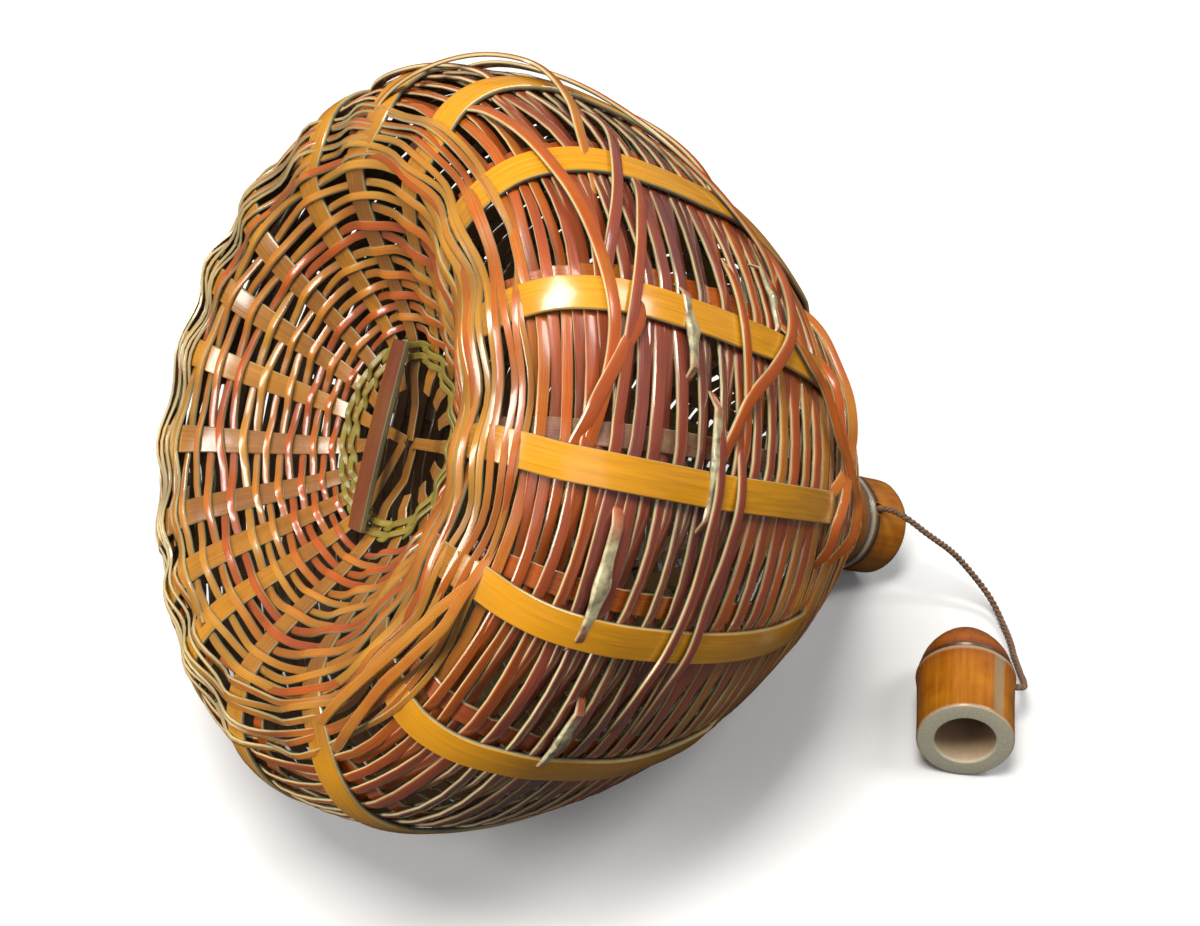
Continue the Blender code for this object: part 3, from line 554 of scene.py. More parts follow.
# Looks of the bands: rows of a distance in millimetres and the value there. width is in millimetres, or on
# the side a share of the weaver's width. reach is the sway shared with the neighbours and wild the strand's
# own, both in millimetres. tip is the lean in degrees, and worn the soot on the cut edges.
Look = namedtuple("Look", "width tone reach wild tip worn")
BASE_LOOK = Look(
    width=((6, 1.9), (20, 2.1), (50, 2.3)),
    tone=((6, 0.24), (20, 0.22), (34, 0.20), (50, 0.16)),
    reach=((6, 0.1), (20, 0.5), (50, 1.1)),
    wild=((6, 0.1), (20, 0.3), (50, 0.7)),
    tip=((10, 8.0), (50, 16.0)),
    worn=0.0,
)
RIM_LOOK = Look(
    width=((62, 1.7),), tone=((50, 0.18), (62, 0.20), (75, 0.24)), reach=((62, 1.0),), wild=((62, 1.1),),
    tip=((62, 26.0),), worn=-0.12,
)
SIDE_LOOK = Look(
    width=((66, 0.58), (80, 0.70), (100, 0.85), (130, 0.98), (200, 0.97), (240, 0.68), (END, 0.55)),
    tone=((70, 0.20), (78, 0.30), (86, 0.52), (95, 0.74), (120, 0.78), (135, 0.50), (150, 0.28), (165, 0.18),
          (200, 0.14)),
    reach=((70, 0.6), (100, 1.7), (125, 1.0), (160, 1.0), (180, 0.3), (200, 1.2), (END, 0.3)),
    wild=((70, 0.9), (100, 0.6), (200, 0.35), (END, 0.2)),
    tip=((70, 24.0), (100, 19.0), (125, 11.0), (160, -3.0), (200, -3.0), (230, 12.0)),
    worn=-0.22,
)

# The shared sway's waves: share of its reach, waves in a turn, drift from one turn to the next, and start
SWAY_WAVES = ((0.50, 3, 0.42, 0.0), (0.30, 5, -0.61, 1.3), (0.25, 9, 0.83, 2.9))
KNOTS_PER_STRAND = (34, 62)
FEWEST_KNOTS = 12
STEPS_PER_KNOT = 4
TONE_SPREAD = (-0.22, 0.24)
WIDTH_SPREAD = (0.86, 1.08)


def rib_angles():
    """Each inner rib lies a quarter of the way from its strip to the strip before."""
    before = np.roll(STRIPS, 1)
    before[0] -= TURN
    return STRIPS - (STRIPS - before) / 4


def sway(angle, turn, reach):
    """A slow drift along the skin, nearly the same for neighbouring courses, so that gaps open and close."""
    return reach * sum(
        share * np.sin(waves * angle + drift * turn + start) for share, waves, drift, start in SWAY_WAVES)


def woven_paths(courses, turns, look, unit, shade_share, random):
    """Weavers that climb from course to course. courses gives the distance at each turn.

    turns lists each turn's knots: angle, lift in millimetres, and whether a strand may end there. unit is
    what the look's width is measured in. A strand gets painted shade, by shade_share, where it runs deepest.
    """
    knots = [
        (angle + TURN * turn, lift * MM, stop)
        for turn, row in enumerate(turns) for angle, lift, stop in row]
    angles = np.array([knot[0] for knot in knots])
    lifts = np.array([knot[1] for knot in knots])
    stops = [i for i, knot in enumerate(knots) if knot[2]]
    paths = []
    start = 0
    while start < len(knots) - 2:
        wanted = start + int(random.integers(*KNOTS_PER_STRAND))
        end = min([i for i in stops if i >= wanted] or [len(knots) - 1])
        if len(knots) - end < FEWEST_KNOTS:
            end = len(knots) - 1
        span = slice(start, end + 1)
        share = np.linspace(0, 1, STEPS_PER_KNOT + 1)[:-1]
        own_angles = angles[span]
        own_lifts = lifts[span]
        ease = (1 - np.cos(np.pi * share)) / 2
        fine = (own_angles[:-1, None] + np.diff(own_angles)[:, None] * share).ravel()
        height = (own_lifts[:-1, None] + np.diff(own_lifts)[:, None] * ease).ravel()
        fine = np.append(fine, own_angles[-1])
        height = np.append(height, own_lifts[-1])
        turn = fine / TURN
        distance = np.interp(turn, np.arange(len(courses)), courses)
        width, tone, reach, wild, tip = (value_at(rows, distance) for rows in look[:-1])
        phase = random.uniform(0, TURN, 4)
        distance = distance + sway(fine, turn, reach * MM)
        wander = 0.6 * np.sin(2.6 * fine + phase[3]) + 0.5 * np.sin(7.3 * fine + phase[0])
        distance = distance + wild * MM * (wander + 0.3 * np.sin(13 * fine + phase[1]))
        tone = tone + random.uniform(*TONE_SPREAD) + 0.05 * np.sin(2 * fine + phase[1])
        width = width * unit * random.uniform(*WIDTH_SPREAD)
        points, outward, onward = on_skin(np.clip(distance, 0, SKIN_END), fine, height)
        outward = lean(outward, onward, tip + (5 + 0.3 * tip) * np.sin(4 * fine + phase[2]))
        # Painted shade where the strand runs deepest in the weave
        deep = shade_share * (lifts.max() - height) / (lifts.max() - lifts.min())
        paths.append(finish_path(points, outward, width, np.clip(tone, 0, 1), 0.0, deep, look.worn))
        start = end
    return paths


def steps_of(rows, unit):
    """Distances of successive courses, from rows of a distance in millimetres and the pitch in units."""
    found = [rows[0][0] * MM]
    while found[-1] < rows[-1][0] * MM:
        found.append(found[-1] + float(value_at(rows, found[-1])) * unit)
    return np.array(found)


def base_knots(turn):
    """Over one strip and under the next, where a strand may end. Seventeen strips shift it on each turn."""
    found = []
    for i, (strip, middle) in enumerate(zip(STRIPS, MIDDLES)):
        above = (turn * len(STRIPS) + i) % 2 == 1
        found.append((strip, BASE_OVER if above else BASE_UNDER, not above))
        found.append((middle, (BASE_OVER + BASE_UNDER) / 2 - 0.4, False))
    return found


def rim_knots(random):
    """Over every strip, and slack between strips, where a strand may end."""
    found = []
    for strip, middle in zip(STRIPS, MIDDLES):
        found.append((strip, random.uniform(*RIM_OVER), False))
        found.append((middle, random.uniform(*RIM_SLACK), True))
    return found


def side_knots(turn, courses):
    """Over one rib and under the next, and under each strip until the strip ends."""
    found = []
    for i, (rib, strip) in enumerate(zip(rib_angles(), STRIPS)):
        found.append((rib, SIDE_OVER if (turn * len(STRIPS) + i) % 2 else SIDE_UNDER, False))
        distance = np.interp(turn + STRIP_TURNS[i], np.arange(len(courses)), courses)
        found.append((strip, UNDER_STRIP if distance < STRIP_ENDS[i] else PAST_STRIP, True))
    return found


# Finishes


def new_material(name):
    """A material with its node tree and its shader."""
    material = bpy.data.materials.new(name)
    material.use_nodes = True
    tree = material.node_tree
    return material, tree, tree.nodes["Principled BSDF"]


def split_bamboo(name, stops, straw, roughness, coat, edge_dark):
    """Split bamboo, smoked and lacquered: glossy skin with fine fibres, paler and duller where it is cut."""
    material, tree, shader = new_material(name)
    given = {
        key: add_node(tree, "ShaderNodeAttribute", attribute_name=key).outputs["Fac"]
        for key in ("along", "across", "tone", "own", "edge", "pale", "inner", "deep", "worn")
    }
    # Fibres show as streaks 17 mm long and 0.3 mm apart on a strand of 4.2 mm, coarser than the real ones
    fibre_length, fibres_across = 17 * MM, 4.2 / 0.3
    lengthways = add_node(
        tree, "ShaderNodeMath", {0: given["along"], 1: 1 / fibre_length}, operation="MULTIPLY")
    sideways = add_node(tree, "ShaderNodeMath", {0: given["across"], 1: fibres_across}, operation="MULTIPLY")
    apart = add_node(tree, "ShaderNodeMath", {0: given["own"], 1: 91.0}, operation="MULTIPLY")
    grain = add_node(tree, "ShaderNodeCombineXYZ", {0: lengthways, 1: sideways, 2: apart})
    fibre = add_node(tree, "ShaderNodeTexNoise", {"Vector": grain, "Scale": 1.0, "Detail": 3.0})
    fibre = fibre.outputs["Fac"]
    # Smoke stains the skin in patches about 18 mm across
    place = add_node(tree, "ShaderNodeTexCoord").outputs["Object"]
    stain = add_node(tree, "ShaderNodeTexNoise", {
        "Vector": place, "Scale": 1 / (18 * MM), "Detail": 4.0, "Roughness": 0.62}).outputs["Fac"]
    shift = add_node(tree, "ShaderNodeMath", {0: stain, 1: 0.5, 2: -0.26}, operation="MULTIPLY_ADD")
    share = add_node(
        tree, "ShaderNodeMath", {0: given["tone"], 1: shift}, operation="ADD", use_clamp=True)
    skin = add_node(tree, "ShaderNodeValToRGB", {"Fac": share})
    elements = skin.color_ramp.elements
    while len(elements) < len(stops):
        elements.new(0.5)
    for element, (position, colour) in zip(elements, stops):
        element.position = position
        element.color = rgba(colour)
    streak = add_node(tree, "ShaderNodeMath", {0: fibre, 1: 0.8, 2: 0.6}, operation="MULTIPLY_ADD")
    streak = add_node(tree, "ShaderNodeCombineColor", {0: streak, 1: streak, 2: streak})
    skin = add_node(
        tree, "ShaderNodeMix", {0: 1.0, 6: skin, 7: streak}, data_type="RGBA", blend_type="MULTIPLY")
    # The cut edges are straw, grey with soot in patches and where hands have worn them
    darkening = add_node(tree, "ShaderNodeMath", {0: stain, 1: 2.2, 2: -0.75}, operation="MULTIPLY_ADD")
    darkening = add_node(tree, "ShaderNodeMath", {0: darkening, 1: given["worn"]}, operation="ADD", use_clamp=True)
    sooty = scaled(straw, edge_dark)
    cut = add_node(tree, "ShaderNodeMix", {0: darkening, 6: rgba(straw), 7: rgba(sooty)}, data_type="RGBA")
    bare = add_node(tree, "ShaderNodeMath", {0: given["edge"], 1: 1.6, 2: -0.45}, operation="MULTIPLY_ADD",
                    use_clamp=True)
    colour = add_node(
        tree, "ShaderNodeMix", {0: bare, 6: skin.outputs[2], 7: cut.outputs[2]}, data_type="RGBA")
    # A knot is scraped pale, with grey-brown clouds 3 mm across
    cloud = add_node(tree, "ShaderNodeTexNoise", {"Vector": place, "Scale": 1 / (3 * MM), "Detail": 3.0})
    cloud = add_node(tree, "ShaderNodeMath", {0: cloud.outputs["Fac"], 1: 3.4, 2: -1.15},
                     operation="MULTIPLY_ADD", use_clamp=True)
    clouded, scraped = rgba(linear("#84745A")), rgba(linear("#DED3A4"))
    knot = add_node(tree, "ShaderNodeMix", {0: cloud, 6: clouded, 7: scraped}, data_type="RGBA")
    colour = add_node(tree, "ShaderNodeMix", {0: given["pale"], 6: colour.outputs[2], 7: knot.outputs[2]},
                      data_type="RGBA")
    # Painted shade: a strand is darker in the recesses, where it runs deep in the weave, and on the side that
    # faces the inside. The bar takes the same darkening for its own darker brown
    dim = add_node(tree, "ShaderNodeMath", {0: given["inner"], 1: 0.95}, operation="MULTIPLY")
    dim = add_node(tree, "ShaderNodeMath", {0: dim, 1: given["deep"]}, operation="MAXIMUM")
    light = add_node(tree, "ShaderNodeMath", {0: dim, 1: -0.76, 2: 1.0}, operation="MULTIPLY_ADD")
    light = add_node(tree, "ShaderNodeCombineColor", {0: light, 1: light, 2: light})
    colour = add_node(tree, "ShaderNodeMix", {0: 1.0, 6: colour.outputs[2], 7: light},
                      data_type="RGBA", blend_type="MULTIPLY")
    tree.links.new(colour.outputs[2], shader.inputs["Base Color"])
    rough = add_node(
        tree, "ShaderNodeMath", {0: fibre, 1: 0.2, 2: roughness - 0.1}, operation="MULTIPLY_ADD")
    rough = add_node(tree, "ShaderNodeMath", {0: bare, 1: 0.25, 2: rough}, operation="MULTIPLY_ADD")
    rough = add_node(
        tree, "ShaderNodeMath", {0: dim, 1: 0.3, 2: rough}, operation="MULTIPLY_ADD", use_clamp=True)
    tree.links.new(rough.outputs[0], shader.inputs["Roughness"])
    shader.inputs["Coat Weight"].default_value = coat
    shader.inputs["Coat Roughness"].default_value = 0.14
    shader.inputs["IOR"].default_value = 1.5
    bump = add_node(tree, "ShaderNodeBump", {"Height": fibre, "Strength": 0.35, "Distance": 0.12 * MM})
    tree.links.new(bump.outputs[0], shader.inputs["Normal"])
    return material


def turned_cane(name, colour, red, node_and_shade_colour, straw, scar_colour):
    """Whole cane, smoked and rubbed to a gloss: even amber skin, sooty nodes, dull pale ends with pores.

    Painted shade darkens the inside of its bores.
    """
    material, tree, shader = new_material(name)
    cut, darkening, redness, scar = (
        add_node(tree, "ShaderNodeAttribute", attribute_name=key).outputs["Fac"]
        for key in ("cut", "darkening", "red", "scar"))
    grain = add_node(tree, "ShaderNodeAttribute", attribute_name="grain").outputs["Vector"]
    # Fibres run along the cane and show as faint streaks, 1.4 mm apart, coarser than the real ones
    streak = add_node(tree, "ShaderNodeTexNoise", {
        "Vector": grain, "Scale": 1 / (1.4 * MM), "Detail": 3.0, "Roughness": 0.6}).outputs["Fac"]
    place = add_node(tree, "ShaderNodeTexCoord").outputs["Object"]
    # Smoke darkens the skin in clouds about 8 mm across
    cloud = add_node(tree, "ShaderNodeTexNoise", {
        "Vector": place, "Scale": 1 / (8 * MM), "Detail": 3.0}).outputs["Fac"]
    share = add_node(
        tree, "ShaderNodeMath", {0: cloud, 1: 2.2, 2: -0.85}, operation="MULTIPLY_ADD", use_clamp=True)
    dark = tuple(v * s for v, s in zip(colour, (0.66, 0.46, 0.3)))
    skin = add_node(tree, "ShaderNodeMix", {0: share, 6: rgba(colour), 7: rgba(dark)}, data_type="RGBA")
    skin = add_node(tree, "ShaderNodeMix", {0: redness, 6: skin.outputs[2], 7: rgba(red)}, data_type="RGBA")
    tint = add_node(tree, "ShaderNodeMath", {0: streak, 1: 0.9, 2: 0.55}, operation="MULTIPLY_ADD")
    tint = add_node(tree, "ShaderNodeCombineColor", {0: tint, 1: tint, 2: tint})
    skin = add_node(tree, "ShaderNodeMix", {0: 1.0, 6: skin.outputs[2], 7: tint},
                    data_type="RGBA", blend_type="MULTIPLY")
    skin = add_node(
        tree, "ShaderNodeMix", {0: scar, 6: skin.outputs[2], 7: rgba(scar_colour)}, data_type="RGBA")
    # The cut end shows the ends of the fibres as faint dots 0.6 mm apart
    dots = add_node(tree, "ShaderNodeTexVoronoi", {"Vector": place, "Scale": 1 / (0.6 * MM)})
    dots = add_node(tree, "ShaderNodeMath", {0: dots.outputs["Distance"], 1: 1.8, 2: -0.1},
                    operation="MULTIPLY_ADD", use_clamp=True)
    pore = scaled(straw, 0.8)
    wood = add_node(tree, "ShaderNodeMix", {0: dots, 6: rgba(pore), 7: rgba(straw)}, data_type="RGBA")
    colour = add_node(
        tree, "ShaderNodeMix", {0: cut, 6: skin.outputs[2], 7: wood.outputs[2]}, data_type="RGBA")
    # Darkening: soot at the nodes, and painted shade deep inside the bores
    colour = add_node(tree, "ShaderNodeMix", {0: darkening, 6: colour.outputs[2], 7: rgba(node_and_shade_colour)},
                      data_type="RGBA")
    tree.links.new(colour.outputs[2], shader.inputs["Base Color"])
    dull = add_node(tree, "ShaderNodeMath", {0: cut, 1: scar}, operation="MAXIMUM")
    rough = add_node(tree, "ShaderNodeMath", {0: streak, 1: 0.14, 2: 0.17}, operation="MULTIPLY_ADD")
    rough = add_node(tree, "ShaderNodeMath", {0: darkening, 1: 0.15, 2: rough}, operation="MULTIPLY_ADD")
    rough = add_node(
        tree, "ShaderNodeMath", {0: dull, 1: 0.4, 2: rough}, operation="MULTIPLY_ADD", use_clamp=True)
    tree.links.new(rough.outputs[0], shader.inputs["Roughness"])
    shader.inputs["Coat Weight"].default_value = 0.25
    shader.inputs["Coat Roughness"].default_value = 0.12
    bump = add_node(tree, "ShaderNodeBump", {"Height": streak, "Strength": 0.25, "Distance": 0.15 * MM})
    tree.links.new(bump.outputs[0], shader.inputs["Normal"])
    return material


def fibre_cord(name, colour):
    """Plant fibre, twisted by hand in two plies: dull, with fine fibres running along each ply."""
    material, tree, shader = new_material(name)
    along, across = (
        add_node(tree, "ShaderNodeAttribute", attribute_name=key).outputs["Fac"]
        for key in ("along", "across"))
    # Fibres 0.12 mm apart on a ply of 1.08 mm, in bundles 2 mm long
    bundle_length, fibres_across = 2 * MM, 1.08 / 0.12
    lengthways = add_node(tree, "ShaderNodeMath", {0: along, 1: 1 / bundle_length}, operation="MULTIPLY")
    sideways = add_node(tree, "ShaderNodeMath", {0: across, 1: fibres_across}, operation="MULTIPLY")
    grain = add_node(tree, "ShaderNodeCombineXYZ", {0: lengthways, 1: sideways})
    fibre = add_node(tree, "ShaderNodeTexNoise", {"Vector": grain, "Scale": 1.0, "Detail": 3.0})
    fibre = fibre.outputs["Fac"]
    share = add_node(
        tree, "ShaderNodeMath", {0: fibre, 1: 2.6, 2: -0.8}, operation="MULTIPLY_ADD", use_clamp=True)
    light, dark = scaled(colour, 2.3), scaled(colour, 0.45)
    colour = add_node(tree, "ShaderNodeMix", {0: share, 6: rgba(dark), 7: rgba(light)}, data_type="RGBA")
    tree.links.new(colour.outputs[2], shader.inputs["Base Color"])
    shader.inputs["Roughness"].default_value = 0.72
    shader.inputs["Sheen Weight"].default_value = 0.2
    bump = add_node(tree, "ShaderNodeBump", {"Height": fibre, "Strength": 0.6, "Distance": 0.2 * MM})
    tree.links.new(bump.outputs[0], shader.inputs["Normal"])
    return material


def finish(kind):
    """The material of a kind of piece, made once."""
    found = bpy.data.materials.get(kind)
    if found:
        return found
    colours = bpy.context.scene.basket_colours
    gold, orange = tuple(colours.gold), tuple(colours.orange)
    mahogany, plum = tuple(colours.mahogany), tuple(colours.plum)
    straw, amber = tuple(colours.straw), tuple(colours.amber)
    if kind == "smoked split bamboo":
        stops = ((0.0, gold), (0.32, orange), (0.66, mahogany), (1.0, plum))
        return split_bamboo(kind, stops, straw, roughness=0.22, coat=0.9, edge_dark=0.42)
    if kind == "lacquered amber bamboo":
        deep = linear("#8C5A28")
        stops = ((0.0, scaled(amber, 1.15)), (0.5, amber), (1.0, deep))
        return split_bamboo(kind, stops, scaled(straw, 0.8), roughness=0.24, coat=0.6, edge_dark=0.3)
    if kind == "split rattan":
        rattan = tuple(colours.rattan)
        stops = ((0.0, scaled(rattan, 1.15)), (1.0, scaled(rattan, 0.6)))
        return split_bamboo(kind, stops, rattan, roughness=0.36, coat=0.1, edge_dark=0.7)
    if kind == "polished cane":
        return turned_cane(
            kind, tuple(colours.cane), red=linear("#A8501C"), node_and_shade_colour=linear("#2E241E"),
            straw=linear("#D6CEB4"), scar_colour=linear("#A08C68"))
    return fibre_cord(kind, tuple(colours.cord))


# Pieces


class PieceOperator:
    """What every operator here shares."""

    bl_options = {"REGISTER", "UNDO"}

    @property
    def sizes(self):
        """The sizes that a user can change."""
        return bpy.context.scene.basket_sizes


class BASKET_OT_camera(PieceOperator, bpy.types.Operator):
    """Place the camera at the photograph's view"""

    bl_idname = "basket.camera"
    bl_label = "Camera"

    def execute(self, context):
        azimuth, elevation, roll = (
            math.radians(v) for v in (CAMERA_AZIMUTH, CAMERA_ELEVATION, CAMERA_ROLL))
        back = Vector((math.sin(azimuth) * math.cos(elevation), -math.cos(azimuth) * math.cos(elevation),
                       math.sin(elevation)))
        right = Vector((math.cos(azimuth), math.sin(azimuth), 0))
        up = back.cross(right)
        rolled = right * math.cos(roll) + up * math.sin(roll)
        upright = up * math.cos(roll) - right * math.sin(roll)
        turn = Matrix((rolled, upright, back)).transposed().to_4x4()
        data = bpy.data.cameras.new("camera")
        data.lens = CAMERA_LENS
        data.sensor_width = 36.0
        data.clip_start = 0.01
        camera = bpy.data.objects.new("camera", data)
        camera.matrix_world = Matrix.Translation(CAMERA_PLACE) @ turn
        context.scene.collection.objects.link(camera)
        context.scene.camera = camera
        return {"FINISHED"}


def cord_points():
    """The cord's line, straight where it enters the neck and the stopper."""
    shift = np.array(CORD_SHIFT)
    out = np.array(NECK_HOLE_OUT) * (1, 1, 0.5)
    out /= np.linalg.norm(out)
    right = np.array(STOPPER_RIGHT)
    mouth, end = np.array(NECK_HOLE), np.array(STOPPER_HOLE)
    route = [mouth - out * CORD_INSIDE, mouth + out * CORD_DIAMETER]
    route += [np.array(point) + shift for point in CORD_ROUTE]
    route += [end + right * CORD_DIAMETER, end - right * CORD_INSIDE]
    route = np.array(route)
    fine = np.concatenate([route[:1], curve_between(route, ROUTE_STEPS), route[-1:]])
    lengths = way_along(fine)
    places = np.linspace(0, lengths[-1], round(lengths[-1] / CORD_STEP) + 1)
    return np.stack([np.interp(places, lengths, fine[:, axis]) for axis in range(3)], 1)


class BASKET_OT_cord(PieceOperator, bpy.types.Operator):
    """Twist the two plies of the cord along its line"""

    bl_idname = "basket.cord"
    bl_label = "Cord"

    def execute(self, context):
        line = cord_points()
        fine = through(line, PLY_STEPS)
        lengths = way_along(fine)
        tangent = np.gradient(fine, lengths, axis=0)
        tangent /= np.linalg.norm(tangent, axis=1)[:, None]
        side = np.cross(tangent, (0, 0, 1))
        side /= np.linalg.norm(side, axis=1)[:, None]
        over = np.cross(side, tangent)
        ply = self.sizes.ply_diameter
        twist = TURN * lengths / TWIST_LENGTH
        paths = []
        for start in (0, math.pi):
            outward = np.cos(twist + start)[:, None] * side + np.sin(twist + start)[:, None] * over
            paths.append(finish_path(fine + outward * ply * PLY_APART_SHARE, outward, ply, start / 9))
        mesh = sweep("cord_twist", paths, {
            "Thickness share": 1.0, "Corner share": 0.29, "Material": finish("twisted plant fibre")})
        piece = add_piece("cord_twist", mesh, "tether", "cord", "cord")
        return {"FINISHED"}


class BASKET_OT_weave(PieceOperator, bpy.types.Operator):
    """Weave the base, the rim, the side and the shoulder"""

    bl_idname = "basket.weave"
    bl_label = "Weave"

    def execute(self, context):
        random = np.random.default_rng(11)
        width = self.sizes.weaver_width
        flat = self.sizes.weaver_thickness / width
        inputs = {"Corner share": 0.08, "Face cuts": 1, "Material": finish("smoked split bamboo")}

        base = steps_of(BASE_COURSES, MM)
        turns = [base_knots(turn) for turn in range(len(base))]
        paths = woven_paths(base, turns, BASE_LOOK, MM, 0.6, random)
        mesh = sweep("base_weavers", paths, {**inputs, "Thickness share": 0.46, "Crown share": 0.42})
        add_piece("base_weavers", mesh, "basket", "weave", "base_weave")

        rim = steps_of(RIM_COURSES, MM)
        turns = [rim_knots(random) for _ in rim]
        paths = woven_paths(rim, turns, RIM_LOOK, MM, 0.6, random)
        mesh = sweep("rim_weavers", paths, {**inputs, "Thickness share": 0.55, "Crown share": 0.2})
        add_piece("rim_weavers", mesh, "basket", "weave", "foot_weave", "foot_strand_1", "foot_strand_2")

        for name, course_shares, shade_share, flat_share, nodes in (
            ("side_weavers", SIDE_COURSE_SHARES, 0.5, 1.0, ("side_weave",)),
            ("shoulder_weavers", SHOULDER_COURSE_SHARES, 0.9, 0.6, ("shoulder_weave", "shoulder_strand_1")),
        ):
            courses = steps_of(course_shares, self.sizes.course)
            turns = [side_knots(turn, courses) for turn in range(len(courses))]
            paths = woven_paths(courses, turns, SIDE_LOOK, width, shade_share, random)
            mesh = sweep(name, paths, {**inputs, "Thickness share": flat * flat_share, "Crown share": 0.30})
            add_piece(name, mesh, "basket", "weave", *nodes)
        return {"FINISHED"}


# Inner ribs: both ends, lift and how far the weave presses them in and out, and the one that is pale
RIB_START, RIB_END = 0.062, 0.268
RIB_LIFT = -0.00275
RIB_WAVE = 0.00035
RIB_SAMPLES = 110
PALE_RIB = 12


class BASKET_OT_ribs(PieceOperator, bpy.types.Operator):
    """Lay the inner ribs behind the weave"""

    bl_idname = "basket.ribs"
    bl_label = "Inner ribs"

    def execute(self, context):
        random = np.random.default_rng(5)
        paths = []
        for i, angle in enumerate(rib_angles()):
            distance = np.linspace(RIB_START, RIB_END, RIB_SAMPLES)
            wave = RIB_WAVE * np.sin(distance / (2 * self.sizes.course) * TURN + i)
            drift = 0.012 * np.sin(distance * 31 + i * 2.1)
            points, outward, onward = on_skin(distance, angle + drift, RIB_LIFT + wave)
            width = self.sizes.rib_width * np.interp(
                distance, (RIB_START, 0.08, 0.2, RIB_END), (0.7, 1.0, 0.95, 0.45))
            tone = 0.78 if i == PALE_RIB else random.uniform(0.25, 0.45)
            pale = 0.25 if i == PALE_RIB else 0.0
            # The ribs lie behind the weave, so they get a little painted shade
            paths.append(finish_path(points, outward, width, tone, pale, deep=0.25))
        mesh = sweep("inner_ribs", paths, {
            "Thickness share": 0.19, "Corner share": 0.04, "Material": finish("smoked split bamboo")})
        nodes = [f"inner_rib_{i + 1:02d}" for i in range(len(STRIPS))]
        add_piece("inner_ribs", mesh, "basket", "rib", *nodes)
        return {"FINISHED"}


# Outer strips: rows of a distance in millimetres and the width there, as a share of the strip's, or the tone
STRIP_WIDTH_SHARES = (
    (-20, 0.34), (-4, 0.38), (0, 0.45), (29, 0.72), (64, 0.98), (190, 1.0), (250, 0.8), (END, 0.5),
)
STRIP_TONES = ((0, 1.0), (45, 0.95), (64, 0.80), (80, 0.28))

# One strip in four runs on to the middle of the hub, where they lie in a stack. Lifts are in millimetres.
STRIPS_TO_MIDDLE = 4
MIDDLE_START, HUB_START, FOOT_EDGE = -0.0195, -0.006, 0.05
BASE_STEP, SIDE_STEP = 0.0014, 0.0022
STACK_TOP, STACK_STEP = -0.9, -0.42
STRIP_LIFT, STRIP_PROUD, STRIP_TUCKED = -0.62, -0.15, -2.7

# Half the angle, in radians, in which the belly lies on the table and the strips don't stand out
LYING_ANGLE = 0.35


class BASKET_OT_strips(PieceOperator, bpy.types.Operator):
    """Lay the outer strips from the hub over the foot and up the side"""

    bl_idname = "basket.strips"
    bl_label = "Outer strips"

    def execute(self, context):
        random = np.random.default_rng(3)
        paths = []
        for i, (angle, end) in enumerate(zip(STRIPS, STRIP_ENDS)):
            start = HUB_START if i % STRIPS_TO_MIDDLE else MIDDLE_START
            distance = np.concatenate([
                np.arange(start, FOOT_EDGE, BASE_STEP), np.arange(FOOT_EDGE, SKIN_END, SIDE_STEP)])
            low = abs((angle + math.pi) % TURN - math.pi) < LYING_ANGLE
            proud = STRIP_LIFT if low else STRIP_PROUD
            depth = STACK_TOP + STACK_STEP * (i // 2)
            lift = value_at((
                (-20, depth), (-10, depth), (-2, STRIP_LIFT), (60, STRIP_LIFT), (75, proud),
                (end / MM - 6, proud), (end / MM + 6, STRIP_TUCKED), (END, STRIP_TUCKED)), distance) * MM
            width = self.sizes.strip_width * value_at(STRIP_WIDTH_SHARES, distance)
            drift = 0.010 * np.sin(distance * 40 + i * 1.7) * np.interp(distance, (0.0, 0.08), (0, 1))
            if i in STRIP_WANDERS:
                places, degrees = np.array(STRIP_WANDERS[i]).T
                drift = eased(places * MM, np.radians(degrees), distance)
            points, outward, onward = on_skin(distance, angle + drift, lift)
            tone = value_at(STRIP_TONES, distance) + random.uniform(-0.12, 0.12)
            paths.append(finish_path(points, outward, width, np.clip(tone, 0, 1)))
        share = self.sizes.strip_thickness / self.sizes.strip_width
        mesh = sweep("outer_strips", paths, {
            "Thickness share": share, "Corner share": 0.03, "Crown share": 0.12, "Face cuts": 2,
            "Material": finish("lacquered amber bamboo")})
        nodes = [f"strip_{i + 1:02d}" for i in range(len(STRIPS))]
        add_piece("outer_strips", mesh, "basket", "strip", *nodes)
        return {"FINISHED"}


